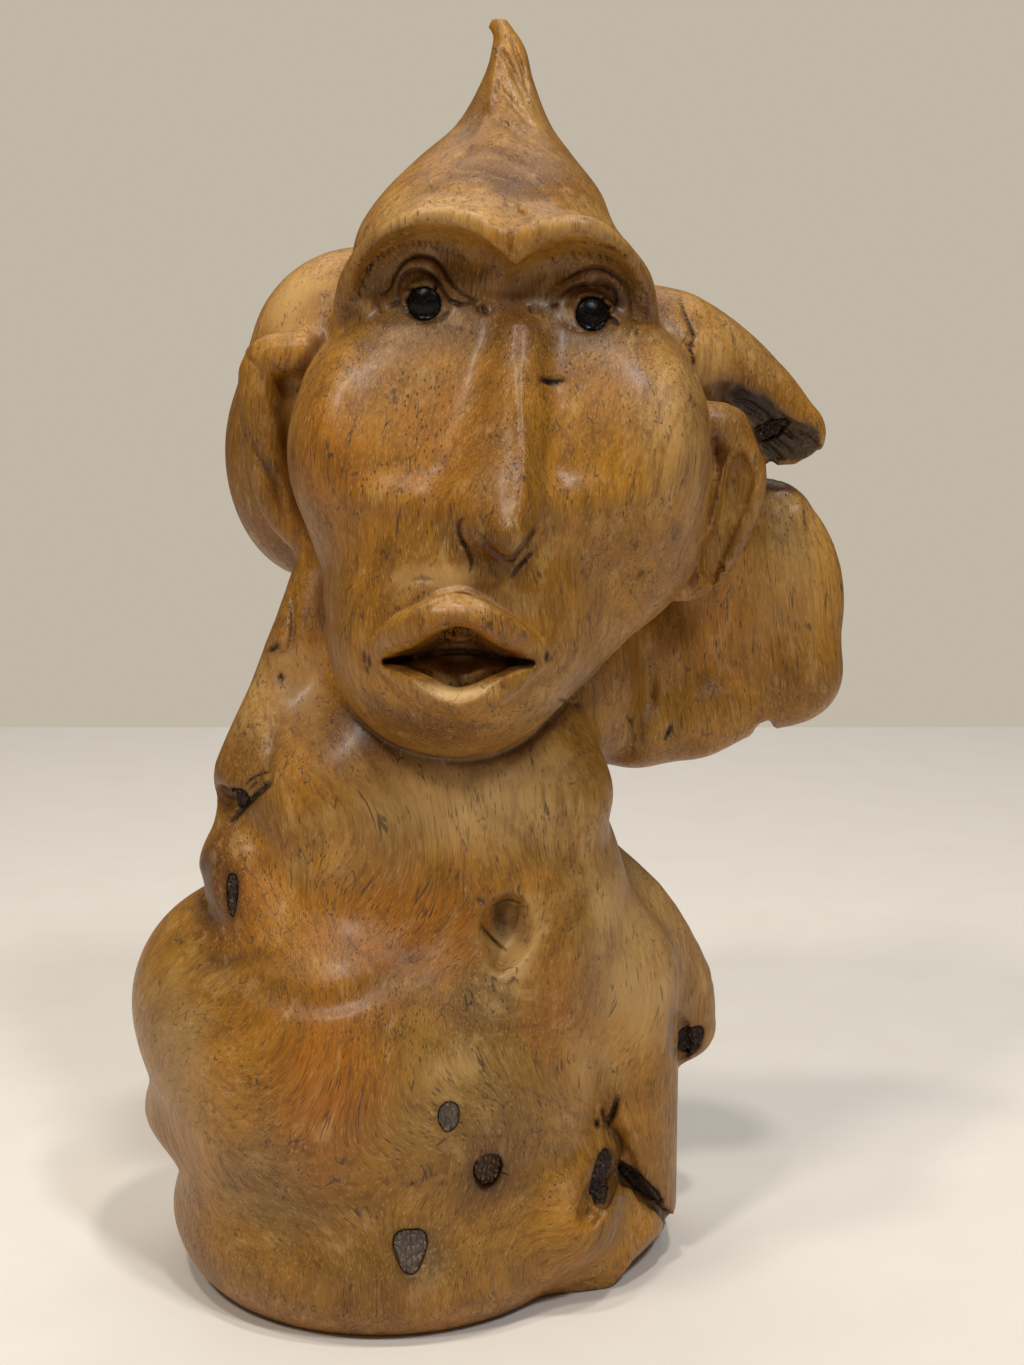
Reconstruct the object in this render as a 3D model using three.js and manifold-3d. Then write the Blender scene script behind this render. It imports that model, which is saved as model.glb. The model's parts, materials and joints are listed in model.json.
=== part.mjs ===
// A figure carved from one piece of root wood: a long face under a hooked spike,
// on a neck and a swollen root that is sawn flat to stand. The pupils, the loose
// knots and the pockets of bark are separate pieces that sit in the wood.
// Millimetres, Z up, the face looks along -Y, origin in the sawn foot.
import * as THREE from 'three';
import { mergeVertices } from 'three/addons/utils/BufferGeometryUtils.js';
import { SimplifyModifier } from 'three/addons/modifiers/SimplifyModifier.js';
import Module from 'manifold-3d';

const wasm = await Module();
wasm.setup();

// Clearance all round a piece that sits in the wood
const FIT = 0.3;

// Pupils, drilled straight back into the eyeballs
const PUPIL_DIAMETER = 7;
const PUPIL_DEPTH = 7;
const PUPIL_SUNK = 0.4;
const LEFT_EYE = { x: 0, z: 234.6 };
const RIGHT_EYE = { x: 36.4, z: 232.4 };

// Swollen root: centre and half-sizes of each form, and its turn in degrees where it has one
const BELLY = { at: [-12, -3, 54], half: [56, 50, 54] };
const BELLY_FOOT = { at: [-12, -4, 14], half: [52, 49, 26] };
const SIDE_SWELLING = { at: [-44, 2, 66], half: [31, 34, 30] };
const SIDE_ROLL = { at: [-52, 4, 36], half: [22, 26, 12] };
const SIDE_TOE = { at: [-46, 2, 14], half: [20, 26, 13] };
const SLAB_FOOT = { at: [39, 9, 42], half: [21.5, 27, 48], round: 19 };
const FRONT_KNOB = { at: [28, -22, 22], half: [18, 18, 16] };
const WAIST = { at: [18, -2, 88], half: [30, 34, 32] };
const HIP_STUB = {
  path: [[24, 18, 100], [46, 21, 80], [59, 24, 62], [63, 26, 50]],
  girth: [14, 14, 12, 9.5],
};
const LOWER_CHEST = { at: [-2, 0, 108], half: [42, 33, 28] };
const UPPER_CHEST = { at: [-18, -8, 122], half: [26, 24, 22] };
const ARM = { path: [[-36, -6, 112], [-41, -10, 102], [-37, -16, 91]], girth: [11, 15, 14] };
const CHEST_KNOB = { path: [[10, -14, 124], [28, -12, 121]], girth: [20, 15] };

// Neck, with the broken stub at its left edge
const NECK = { at: [2, 4, 140], half: [33, 30, 40] };
const NECK_STUB = { path: [[-24, 4, 176], [-31, -3, 152], [-43, -8, 125]], girth: [8, 9.5, 8.5] };
const NAPE = { at: [34, 18, 148], half: [18, 20, 26] };

// Flap of wood behind the right ear
const FLAP = { at: [78, 33, 160], half: [26, 13, 33] };
const FLAP_CORNER = { at: [90, 33, 142], half: [14, 12, 13] };
const FLAP_SCALLOP = { at: [78, 33, 136], half: [12, 12, 9] };
const FLAP_ROOT = { at: [62, 30, 133], half: [18, 13, 13] };
const FLAP_HEEL = { at: [50, 26, 131], half: [12, 14, 12] };
const FLAP_SHOULDER = { at: [67, 28, 178], half: [14, 12, 18] };
const FLAP_WEB = { at: [53, 26, 151], half: [13, 12, 18] };

// Lobes of hair behind the head
const UPPER_HAIR = { at: [-17, 20, 221], half: [28, 24, 28] };
const LOWER_HAIR = { at: [-30, 24, 199], half: [22, 22, 31] };
const SIDE_LOBE = {
  path: [[24, 14, 224], [56, 16, 222], [76, 19, 214], [88, 20, 205]],
  girth: [18, 17, 11, 7.5],
};
const LOBE_BREAK = { at: [80, 8, 200], half: [15, 14, 12], turn: [0, 40, 0] };

// Head: cheekbones to chin, and the crown in level sections of [height, x, y, half-width, half-depth]
const FACE = { path: [[16, -6, 205], [5, -20, 160]], girth: [44, 28] };
const JAW_CORNER = { at: [43, -8, 186], half: [19, 26, 24] };
const RIGHT_JAW = { path: [[44, -10, 182], [28, -18, 161]], girth: [17, 14] };
const CROWN = [
  [229, 16.5, -6, 37, 34],
  [236, 16.5, -8, 37, 36],
  [243, 16.5, -9, 34.5, 35.5],
  [252, 13.5, -9, 29, 33],
  [260, 14.5, -7, 24.5, 27.5],
  [268, 15.5, -4, 17.5, 19.5],
  [275, 17, -2, 11, 12.5],
  [285, 18, 0, 6, 6.5],
  [293, 18.2, 1, 3.6, 3.6],
  [299, 16, 2, 1.6, 1.6],
];
const LEFT_CHEEK = { at: [-7, -23, 203], half: [24, 24, 25] };
const RIGHT_CHEEK = { at: [42, -22, 204], half: [21, 24, 25] };
const NOSE_BED = { at: [18, -25, 200], half: [18, 24, 26] };
const MUZZLE = { at: [8, -34, 164], half: [26, 20, 24] };
const CHEEK_SLOPE = { at: [18, -59.2, 224.5], half: [36, 20, 22], round: 4, turn: [-19, 0, 0] };

// Brow rim, a double arch that overhangs the hollow with the eyes
const BROW = {
  path: [
    [-16.5, -23, 229],
    [-15.5, -31, 240],
    [-9, -38, 248.5],
    [0, -42, 252.5],
    [10, -43, 252],
    [18, -43, 248],
    [26, -43, 250],
    [35, -42, 250.5],
    [44, -37, 246],
    [50.5, -28, 237],
    [52.5, -20, 225],
  ],
  girth: [3, 3.4, 3.4, 3.4, 3.2, 3.2, 3.2, 3.4, 3.4, 3.4, 3],
};
const LEFT_HOLLOW = { at: [0, -53, 232], half: [19, 20, 20.5], round: 6, turn: [-10, 0, -14] };
const RIGHT_HOLLOW = { at: [35, -53, 226], half: [18.5, 20, 23.5], round: 6, turn: [-10, 0, 14] };
const BRIDGE_HOLLOW = { at: [19, -53, 232], half: [13, 20, 12.5], round: 6 };
const EYEBALL = { half: [6.2, 5.3, 5.9], proud: 2.2 };

// Nose and lips
const NOSE = { path: [[20.7, -38, 228], [20.5, -47.5, 206], [18.5, -57.5, 187]], girth: [2.6, 3, 4] };
const NOSE_FLANK = { path: [[18, -38, 218], [12.5, -49, 191]], girth: [3, 6] };
const NOSE_UNDERSIDE = { at: [15, -66, 174.5], half: [12, 12, 7] };
const UPPER_LIP = {
  path: [[-9, -51, 161.5], [-3, -58, 167], [6, -61, 170], [14, -59, 168], [24, -51, 161.5]],
  girth: [2.2, 4.2, 4.6, 4.2, 2.2],
};
const LOWER_LIP = {
  path: [[-8, -51, 158.5], [0, -57, 154.5], [8, -59, 152], [16, -57, 154], [24, -51, 158.5]],
  girth: [2, 3.5, 4, 3.5, 2],
};
const MOUTH = { path: [[-7, -61, 160.5], [8, -63, 161.5], [22, -61, 160]], girth: [1.4, 6, 1.4] };

// Ears: the left one seen edge-on, the right one a carved shell
const LEFT_EAR = {
  path: [[-30, -2, 224], [-39, 0, 222], [-40, 2, 206], [-36, 2, 188], [-28, 0, 178]],
  girth: [5, 5, 5, 5, 4],
};
const RIGHT_EAR = {
  path: [[58, -2, 208], [70, 0, 206], [74, 2, 194], [70, 3, 182], [64, 2, 170], [56, 0, 168]],
  girth: [5, 5.5, 5.5, 6, 4, 3],
};
const RIGHT_EAR_BACK = { at: [63, 4, 189], half: [12, 8, 20] };

// Hollows in the wood
const NAVEL = { x: 17.5, z: 95, half: [6.8, 8, 9.2], turn: [0, 12, 0] };
const STUB_HOLLOW = { at: [-50, -16, 120], half: [4.5, 7, 3.6] };
const FOOT_POCKET = {
  path: [[37, -37, 26], [41, -31, 32], [45, -20, 34], [51, -15, 21]],
  girth: [3, 4, 3, 1.6],
};
const FOOT_FOLD = { path: [[41, -21, 53], [41, -20, 43], [45, -18, 36]], girth: [1, 2, 2.4] };

// Knots and bark let into the wood: the line that each goes in along, its outline across that
// line, its depth, how far it lies below the surface, and how its outline narrows and waves
const BELLY_KNOT = {
  from: [15, -90, 38],
  to: [12, 0, 43],
  wide: 6.5,
  tall: 9.5,
  deep: 14,
  sunk: 1.6,
  narrowing: 0.2,
  wave: 0.05,
};
const PIN_KNOT = {
  from: [5.5, -90, 53],
  to: [4, 0, 59],
  wide: 4.6,
  tall: 7,
  deep: 9,
  sunk: 0.4,
  narrowing: 0.2,
  wave: 0.04,
};
const LOW_BARK = {
  from: [-4, -90, 20],
  to: [-4, 0, 29],
  wide: 8,
  tall: 10,
  deep: 5,
  sunk: 0.5,
  narrowing: 0.3,
  wave: 0.12,
};
const FOOT_BARK = {
  from: [42, -90, 24],
  to: [40, 0, 32],
  wide: 6,
  tall: 11,
  deep: 8,
  sunk: 0.5,
  roll: 25,
  narrowing: 0.3,
  wave: 0.12,
};
const CRACK_BARK = {
  from: [49.5, -90, 21],
  to: [50.5, 0, 23],
  wide: 4,
  tall: 15,
  deep: 6,
  sunk: 0.4,
  roll: -42,
  narrowing: 0.2,
  wave: 0.06,
};
const STUB_BARK = {
  from: [-49, -90, 119],
  to: [-44, 0, 122],
  wide: 5.5,
  tall: 4.6,
  deep: 7,
  sunk: 0.5,
  narrowing: 0.3,
  wave: 0.08,
};
const LOBE_BARK = {
  from: [79, -90, 178],
  to: [81, 20, 206],
  wide: 11,
  tall: 5,
  deep: 5,
  sunk: 0.3,
  roll: -25,
  narrowing: 0.3,
  wave: 0.12,
};
const HIP_BARK = {
  from: [64, -60, 30],
  to: [65, 30, 52],
  wide: 7,
  tall: 9,
  deep: 6,
  sunk: 0.3,
  narrowing: 0.3,
  wave: 0.1,
};
const ARM_BARK = {
  from: [-51.5, -90, 98],
  to: [-44, 0, 101],
  wide: 2.8,
  tall: 10,
  deep: 5,
  sunk: 0.3,
  narrowing: 0.3,
  wave: 0.08,
};

// How far two forms blend where they meet, from a knife edge to a broad slope
const KEEN = 1.5;
const CRISP = 3;
const CLOSE = 5.5;
const SOFT = 8;
const BROAD = 12;

// Fineness of the wood's mesh and of the pieces' outlines
const CELL = 3;
const WOOD_VERTICES = 5200;
const SEGMENTS = 24;
const LEAST_SHARE = 0.04;

// Above every surface, and in front of the figure
const FAR = 1000;
const BEFORE_ALL = -90;
const BACKWARDS = new THREE.Vector3(0, 1, 0);

// Fields of the forms: the distance to a form's surface, negative inside, with a box around the form

function withBox(field, points, margin) {
  const box = new THREE.Box3().setFromPoints(points.map((p) => new THREE.Vector3(...p)));
  return Object.assign(field, { box: box.expandByScalar(margin) });
}

function intoFrame(at, turn = [0, 0, 0]) {
  const e = new THREE.Matrix4()
    .makeRotationFromEuler(new THREE.Euler(...turn.map(THREE.MathUtils.degToRad)))
    .setPosition(...at)
    .invert()
    .elements;
  return (x, y, z) => [
    e[0] * x + e[4] * y + e[8] * z + e[12],
    e[1] * x + e[5] * y + e[9] * z + e[13],
    e[2] * x + e[6] * y + e[10] * z + e[14],
  ];
}

function egg({ at, half, turn }) {
  const [a, b, c] = half;
  const local = intoFrame(at, turn);
  const field = (x, y, z) => {
    const [px, py, pz] = local(x, y, z);
    const far = Math.hypot(px / a, py / b, pz / c);
    const slope = Math.hypot(px / (a * a), py / (b * b), pz / (c * c));
    return slope < 1e-9 ? -Math.min(a, b, c) : (far * (far - 1)) / slope;
  };
  return withBox(field, [at], Math.max(...half));
}

function cushion({ at, half, round, turn }) {
  const local = intoFrame(at, turn);
  const field = (x, y, z) => {
    const [qx, qy, qz] = local(x, y, z).map((v, axis) => Math.abs(v) - half[axis] + round);
    const outside = Math.hypot(Math.max(qx, 0), Math.max(qy, 0), Math.max(qz, 0));
    return outside + Math.min(Math.max(qx, qy, qz), 0) - round;
  };
  return withBox(field, [at], Math.max(...half));
}

// An oval drum that lies along Y, its rims rounded
function drum({ at, half, round, turn }) {
  const [a, b, c] = half;
  const local = intoFrame(at, turn);
  const field = (x, y, z) => {
    const [px, py, pz] = local(x, y, z);
    const far = Math.hypot(px / a, pz / c);
    const slope = Math.hypot(px / (a * a), pz / (c * c));
    const q = (slope < 1e-9 ? -Math.min(a, c) : (far * (far - 1)) / slope) + round;
    const r = Math.abs(py) - b + round;
    return Math.hypot(Math.max(q, 0), Math.max(r, 0)) + Math.min(Math.max(q, r), 0) - round;
  };
  return withBox(field, [at], Math.max(...half));
}

function limb({ path, girth }) {
  const points = path.map((p) => new THREE.Vector3(...p));
  const curve = new THREE.CatmullRomCurve3(points, false, 'centripetal');
  const steps = 4 * (path.length - 1);
  const joints = [];
  for (let i = 0; i <= steps; i++) {
    const u = (i / steps) * (girth.length - 1);
    const k = Math.min(Math.floor(u), girth.length - 2);
    const radius = THREE.MathUtils.lerp(girth[k], girth[k + 1], u - k);
    joints.push([...curve.getPoint(i / steps).toArray(), radius]);
  }
  const field = (x, y, z) => {
    let near = Infinity;
    for (let i = 1; i < joints.length; i++) {
      const [ax, ay, az, ar] = joints[i - 1];
      const [bx, by, bz, br] = joints[i];
      const [dx, dy, dz] = [bx - ax, by - ay, bz - az];
      const [px, py, pz] = [x - ax, y - ay, z - az];
      const along = (px * dx + py * dy + pz * dz) / (dx * dx + dy * dy + dz * dz);
      const t = Math.min(1, Math.max(0, along));
      const d = Math.hypot(px - t * dx, py - t * dy, pz - t * dz) - ar - t * (br - ar);
      near = Math.min(near, d);
    }
    return near;
  };
  return withBox(field, path, Math.max(...girth));
}

// Smooth value of one column of the sections at a height
function sectionValue(sections, column, height) {
  let k = 0;
  while (k < sections.length - 2 && height > sections[k + 1][0]) k++;
  const [a, b] = [sections[k], sections[k + 1]];
  const before = sections[Math.max(k - 1, 0)];
  const after = sections[Math.min(k + 2, sections.length - 1)];
  const span = b[0] - a[0];
  const rise = b[column] - a[column];
  const startSlope = ((b[column] - before[column]) / (b[0] - before[0])) * span;
  const endSlope = ((after[column] - a[column]) / (after[0] - a[0])) * span;
  const t = (height - a[0]) / span;
  const bend = 3 * rise - 2 * startSlope - endSlope;
  return a[column] + t * (startSlope + t * (bend + t * (startSlope + endSlope - 2 * rise)));
}

function stack(sections) {
  const [bottom, top] = [sections[0][0], sections.at(-1)[0]];
  const field = (x, y, z) => {
    const height = Math.min(top, Math.max(bottom, z));
    const [cx, cy, rx, ry] = [1, 2, 3, 4].map((column) => sectionValue(sections, column, height));
    const [u, v] = [(x - cx) / rx, (y - cy) / ry];
    const far = Math.hypot(u, v);
    const d = far < 1e-6 ? -Math.min(rx, ry) : (far * (far - 1)) / Math.hypot(u / rx, v / ry);
    return Math.max(d, z - top, bottom - z);
  };
  const corners = sections.flatMap(([h, cx, cy, rx, ry]) => [
    [cx - rx, cy - ry, h],
    [cx + rx, cy + ry, h],
  ]);
  return withBox(field, corners, 0);
}

function smoothMin(a, b, soft) {
  const h = Math.max(soft - Math.abs(a - b), 0) / soft;
  return Math.min(a, b) - (h * h * soft) / 4;
}

// Strokes of the sculptor: a form joined on or hollowed out, the edge softened over some millimetres

function add(form, soft = KEEN) {
  return Object.assign((d, x, y, z) => smoothMin(d, form(x, y, z), soft), { box: form.box });
}

function cut(form, soft = KEEN) {
  return Object.assign((d, x, y, z) => -smoothMin(-d, form(x, y, z), soft), { box: new THREE.Box3() });
}

function sculpt(...strokes) {
  const field = (x, y, z) => strokes.reduce((d, stroke) => stroke(d, x, y, z), FAR);
  const box = strokes.reduce((all, stroke) => all.union(stroke.box), new THREE.Box3());
  return Object.assign(field, { box });
}

// How far a point travels along a line before it meets a form
function reach(form, start, direction, longest = 150) {
  const at = start.clone();
  let gone = 0;
  while (gone < longest) {
    const d = form(at.x, at.y, at.z);
    if (d < 0.01) break;
    const step = Math.max(0.6 * d, 0.02);
    at.addScaledVector(direction, step);
    gone += step;
  }
  return gone;
}

// Where the front of a form lies at a place seen from the front
function frontOf(form, x, z) {
  return BEFORE_ALL + reach(form, new THREE.Vector3(x, BEFORE_ALL, z), BACKWARDS);
}

const root = sculpt(
  add(egg(BELLY)),
  add(egg(BELLY_FOOT), BROAD),
  add(egg(SIDE_SWELLING), SOFT),
  add(egg(SIDE_ROLL), CRISP),
  add(egg(SIDE_TOE), CRISP),
  add(cushion(SLAB_FOOT), CLOSE),
  add(egg(FRONT_KNOB), CLOSE),
  add(egg(WAIST), BROAD),
  add(limb(HIP_STUB), SOFT),
  add(egg(LOWER_CHEST), BROAD),
  add(egg(UPPER_CHEST), BROAD),
  add(limb(ARM), CRISP),
  add(limb(CHEST_KNOB), CLOSE),
);

const neck = sculpt(
  add(egg(NECK)),
  add(limb(NECK_STUB), CLOSE),
  add(egg(NAPE), BROAD),
);

const flap = sculpt(
  add(egg(FLAP)),
  add(egg(FLAP_CORNER), CLOSE),
  add(egg(FLAP_SCALLOP), CRISP),
  add(egg(FLAP_ROOT), CLOSE),
  add(egg(FLAP_HEEL), CLOSE),
  add(egg(FLAP_SHOULDER), CLOSE),
  add(egg(FLAP_WEB), CLOSE),
);

const hair = sculpt(
  add(egg(UPPER_HAIR)),
  add(egg(LOWER_HAIR), CLOSE),
  add(limb(SIDE_LOBE), CLOSE),
  cut(egg(LOBE_BREAK), KEEN),
);

const eyeHollow = sculpt(
  add(drum(LEFT_HOLLOW)),
  add(drum(RIGHT_HOLLOW), KEEN),
  add(cushion(BRIDGE_HOLLOW), KEEN),
);

const visor = sculpt(
  add(stack(CROWN)),
  add(limb(BROW), BROAD),
  cut(eyeHollow, KEEN),
);

const skull = sculpt(
  add(limb(FACE)),
  add(egg(JAW_CORNER), SOFT),
  add(limb(RIGHT_JAW), SOFT),
  add(egg(LEFT_CHEEK), BROAD),
  add(egg(RIGHT_CHEEK), BROAD),
  add(egg(NOSE_BED), BROAD),
  add(egg(MUZZLE), BROAD),
  cut(cushion(CHEEK_SLOPE), SOFT),
  add(visor, KEEN),
);

const eyeball = ({ x, z }) => egg({
  at: [x, frontOf(skull, x, z) + EYEBALL.half[1] - EYEBALL.proud, z],
  half: EYEBALL.half,
});

const head = sculpt(
  add(skull),
  add(eyeball(LEFT_EYE), KEEN),
  add(eyeball(RIGHT_EYE), KEEN),
  add(limb(NOSE_FLANK), SOFT),
  add(limb(NOSE), SOFT),
  cut(egg(NOSE_UNDERSIDE), CRISP),
  add(limb(UPPER_LIP), CRISP),
  add(limb(LOWER_LIP), CRISP),
  cut(limb(MOUTH), KEEN),
);

const body = sculpt(
  add(root),
  add(neck, BROAD),
  add(flap, SOFT),
  add(hair, CLOSE),
  add(head, KEEN),
  add(limb(LEFT_EAR), CRISP),
  add(limb(RIGHT_EAR), CRISP),
  add(egg(RIGHT_EAR_BACK), CRISP),
);

const figure = sculpt(
  add(body),
  cut(egg({ ...NAVEL, at: [NAVEL.x, frontOf(body, NAVEL.x, NAVEL.z), NAVEL.z] }), CRISP),
  cut(egg(STUB_HOLLOW), KEEN),
  cut(limb(FOOT_POCKET), KEEN),
  cut(limb(FOOT_FOLD), CRISP),
);

// The corners of a cube's six tetrahedra, which share its long diagonal
const TETRAHEDRA = [
  [0, 1, 3, 7],
  [0, 3, 2, 7],
  [0, 2, 6, 7],
  [0, 6, 4, 7],
  [0, 4, 5, 7],
  [0, 5, 1, 7],
];

// A field's surface as a closed mesh, from its values at the corners of a grid of cells
function polygonise(field, box, cell) {
  const [nx, ny, nz] = box.getSize(new THREE.Vector3()).toArray().map((s) => Math.ceil(s / cell) + 1);
  const place = (i) => [
    box.min.x + cell * (i % nx),
    box.min.y + cell * (Math.floor(i / nx) % ny),
    box.min.z + cell * Math.floor(i / (nx * ny)),
  ];
  const values = Float64Array.from({ length: nx * ny * nz }, (_, i) => field(...place(i)));
  const points = [];
  const index = [];
  const known = new Map();
  const crossing = (i, j) => {
    const key = Math.min(i, j) * values.length + Math.max(i, j);
    if (!known.has(key)) {
      const t = THREE.MathUtils.clamp(values[i] / (values[i] - values[j]), LEAST_SHARE, 1 - LEAST_SHARE);
      const [a, b] = [place(i), place(j)];
      known.set(key, points.length / 3);
      points.push(...a.map((v, axis) => v + (b[axis] - v) * t));
    }
    return known.get(key);
  };
  const tetrahedron = (ids) => {
    const inside = ids.filter((v) => values[v] < 0);
    const outside = ids.filter((v) => values[v] >= 0);
    if (!inside.length || !outside.length) return;
    let ring = inside.map((v) => crossing(v, outside[0]));
    if (inside.length === 1) ring = outside.map((v) => crossing(inside[0], v));
    if (inside.length === 2) {
      ring = [[0, 0], [0, 1], [1, 1], [1, 0]].map(([p, q]) => crossing(inside[p], outside[q]));
    }
    const swaps = ids.flatMap((v, n) => ids.slice(n + 1).filter((w) => values[v] >= 0 && values[w] < 0));
    if (swaps.length % 2) ring.reverse();
    for (let n = 2; n < ring.length; n++) {
      index.push(ring[0], ring[n - 1], ring[n]);
    }
  };
  const corners = [0, 1, nx, nx + 1].concat([0, 1, nx, nx + 1].map((c) => c + nx * ny));
  for (let k = 0; k < nz - 1; k++) {
    for (let j = 0; j < ny - 1; j++) {
      for (let i = 0; i < nx - 1; i++) {
        const cube = corners.map((c) => c + i + j * nx + k * nx * ny);
        const filled = cube.filter((v) => values[v] < 0).length;
        if (filled > 0 && filled < cube.length) {
          TETRAHEDRA.forEach((tet) => tetrahedron(tet.map((c) => cube[c])));
        }
      }
    }
  }
  return meshOf(points, index);
}

function meshOf(points, index) {
  return new THREE.BufferGeometry()
    .setAttribute('position', new THREE.Float32BufferAttribute(points, 3))
    .setIndex(index);
}

function welded(geometry) {
  geometry.deleteAttribute('normal');
  geometry.deleteAttribute('uv');
  return mergeVertices(geometry);
}

function solid(geometry) {
  return new wasm.Manifold(new wasm.Mesh({
    numProp: 3,
    vertProperties: Float32Array.from(geometry.getAttribute('position').array),
    triVerts: Uint32Array.from(geometry.index.array),
  }));
}

// A piece let into the wood along a line, and the socket for it: one outline that narrows
// with depth. The outer end of the piece follows the wood's surface, on rings at these shares
// of the outline. The socket opens outwards past any bulge of that end.
const END_RINGS = [0.4, 0.75, 1];
const WAVES = 3;

function inlay({ from, to, wide, tall, deep, sunk, roll = 0, narrowing = 0, wave = 0 }) {
  const start = new THREE.Vector3(...from);
  const inward = new THREE.Vector3(...to).sub(start).normalize();
  const side = new THREE.Vector3(0, 0, 1)
    .cross(inward)
    .normalize()
    .applyAxisAngle(inward, THREE.MathUtils.degToRad(roll));
  const up = inward.clone().cross(side);
  const surface = reach(figure, start, inward);
  const bulge = deep / 2;
  const point = (angle, share, depth, grown) => {
    const narrowed = 1 - (narrowing * depth) / deep;
    const outline = (1 + wave * Math.sin(WAVES * angle)) * narrowed;
    return start
      .clone()
      .addScaledVector(side, share * Math.cos(angle) * ((wide / 2) * outline + grown))
      .addScaledVector(up, share * Math.sin(angle) * ((tall / 2) * outline + grown))
      .addScaledVector(inward, surface + depth);
  };
  const skin = (angle, share) => {
    const above = point(angle, share, 0, 0).addScaledVector(inward, -surface);
    const offset = reach(figure, above, inward) - surface;
    return sunk + THREE.MathUtils.clamp(offset, -bulge, bulge);
  };
  const plug = (levels, grown) => {
    const rows = levels.map(([share, depthAt]) => Array.from({ length: SEGMENTS }, (_, s) => {
      const angle = (2 * Math.PI * s) / SEGMENTS;
      return point(angle, share, depthAt(angle, share), grown);
    }));
    const ends = [levels[0], levels.at(-1)].map(([, depthAt]) => point(0, 0, depthAt(0, 0), grown));
    const outer = SEGMENTS * levels.length;
    const inner = outer + 1;
    const index = [];
    for (let s = 0; s < SEGMENTS; s++) {
      const t = (s + 1) % SEGMENTS;
      index.push(outer, t, s);
      for (let row = SEGMENTS; row < outer; row += SEGMENTS) {
        const before = row - SEGMENTS;
        index.push(before + s, before + t, row + s);
        index.push(before + t, row + t, row + s);
      }
      index.push(inner, outer - SEGMENTS + s, outer - SEGMENTS + t);
    }
    return solid(meshOf([...rows.flat(), ...ends].flatMap((p) => p.toArray()), index));
  };
  return {
    piece: plug([...END_RINGS.map((share) => [share, skin]), [1, () => deep]], 0),
    socket: plug([[1, () => sunk - bulge - FIT], [1, () => deep + FIT]], FIT),
  };
}

const pupil = ({ x, z }) => inlay({
  from: [x, BEFORE_ALL, z],
  to: [x, 0, z],
  wide: PUPIL_DIAMETER,
  tall: PUPIL_DIAMETER,
  deep: PUPIL_DEPTH,
  sunk: PUPIL_SUNK,
});

const BLACK = { color: 0x14100d, roughness: 0.25 };
const KNOT_BROWN = { color: 0x3a2113, roughness: 0.7 };
const KNOT_GREY = { color: 0x6a6357, roughness: 0.6 };
const BARK = { color: 0x2c1a10, roughness: 0.9 };
const WOOD = { color: 0xb5803f, roughness: 0.45 };

const inlays = {
  left_pupil: [pupil(LEFT_EYE), BLACK],
  right_pupil: [pupil(RIGHT_EYE), BLACK],
  belly_knot: [inlay(BELLY_KNOT), KNOT_BROWN],
  pin_knot: [inlay(PIN_KNOT), KNOT_GREY],
  low_bark: [inlay(LOW_BARK), KNOT_GREY],
  foot_bark: [inlay(FOOT_BARK), BARK],
  crack_bark: [inlay(CRACK_BARK), BARK],
  stub_bark: [inlay(STUB_BARK), BARK],
  lobe_bark: [inlay(LOBE_BARK), BARK],
  hip_bark: [inlay(HIP_BARK), BARK],
  arm_bark: [inlay(ARM_BARK), BARK],
};

// The wood: its forms down to just below the ground, thinned to fewer vertices, then sawn flat
// at the foot and opened for the sockets
const contents = figure.box.clone().expandByScalar(2 * CELL);
contents.min.z = -2 * CELL;
const aboveGround = (x, y, z) => Math.max(figure(x, y, z), -CELL - z);
const dense = polygonise(aboveGround, contents, CELL);
const spare = dense.getAttribute('position').count - WOOD_VERTICES;
const thinned = await new SimplifyModifier().modify(dense, spare);
const ground = contents.getSize(new THREE.Vector3()).multiplyScalar(2).setZ(4 * CELL);
const belowGround = new THREE.BoxGeometry(...ground.toArray()).translate(0, 0, -ground.z / 2);
const sawn = solid(thinned).subtract(solid(welded(belowGround)));
const socketed = Object.values(inlays).reduce((wood, [{ socket }]) => wood.subtract(socket), sawn);
const wood = socketed.decompose().sort((a, b) => b.volume() - a.volume())[0];

const group = new THREE.Group();
function place(name, made, look) {
  const { vertProperties, triVerts } = made.getMesh();
  const geometry = meshOf(vertProperties, [...triVerts]);
  const mesh = new THREE.Mesh(geometry, new THREE.MeshStandardMaterial(look));
  mesh.name = name;
  group.add(mesh);
}
place('carved_root', wood, WOOD);
for (const [name, [{ piece }, look]] of Object.entries(inlays)) {
  place(name, piece, look);
}

export default group;
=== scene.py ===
import json
import math

import bpy
import numpy as np
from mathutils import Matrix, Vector


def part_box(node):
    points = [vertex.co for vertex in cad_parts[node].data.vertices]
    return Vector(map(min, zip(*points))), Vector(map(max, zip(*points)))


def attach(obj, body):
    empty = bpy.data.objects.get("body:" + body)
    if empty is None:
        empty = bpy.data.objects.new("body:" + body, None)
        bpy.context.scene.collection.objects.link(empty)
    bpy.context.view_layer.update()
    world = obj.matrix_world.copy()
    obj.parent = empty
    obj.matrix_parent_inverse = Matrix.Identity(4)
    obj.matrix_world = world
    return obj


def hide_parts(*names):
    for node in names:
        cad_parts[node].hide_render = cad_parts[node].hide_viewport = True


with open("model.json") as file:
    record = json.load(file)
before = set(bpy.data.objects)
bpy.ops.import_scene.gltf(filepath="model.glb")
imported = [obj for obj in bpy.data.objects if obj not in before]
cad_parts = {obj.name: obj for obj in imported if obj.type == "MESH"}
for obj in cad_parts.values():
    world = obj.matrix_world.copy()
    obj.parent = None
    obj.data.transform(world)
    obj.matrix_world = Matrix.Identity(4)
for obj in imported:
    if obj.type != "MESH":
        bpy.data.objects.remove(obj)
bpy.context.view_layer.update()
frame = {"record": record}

# The figure's forms are written in millimetres for a figure of this height and follow the frame's
FORM_HEIGHT = 299.5
ROOT_LOW, ROOT_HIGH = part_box("carved_root")
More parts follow.
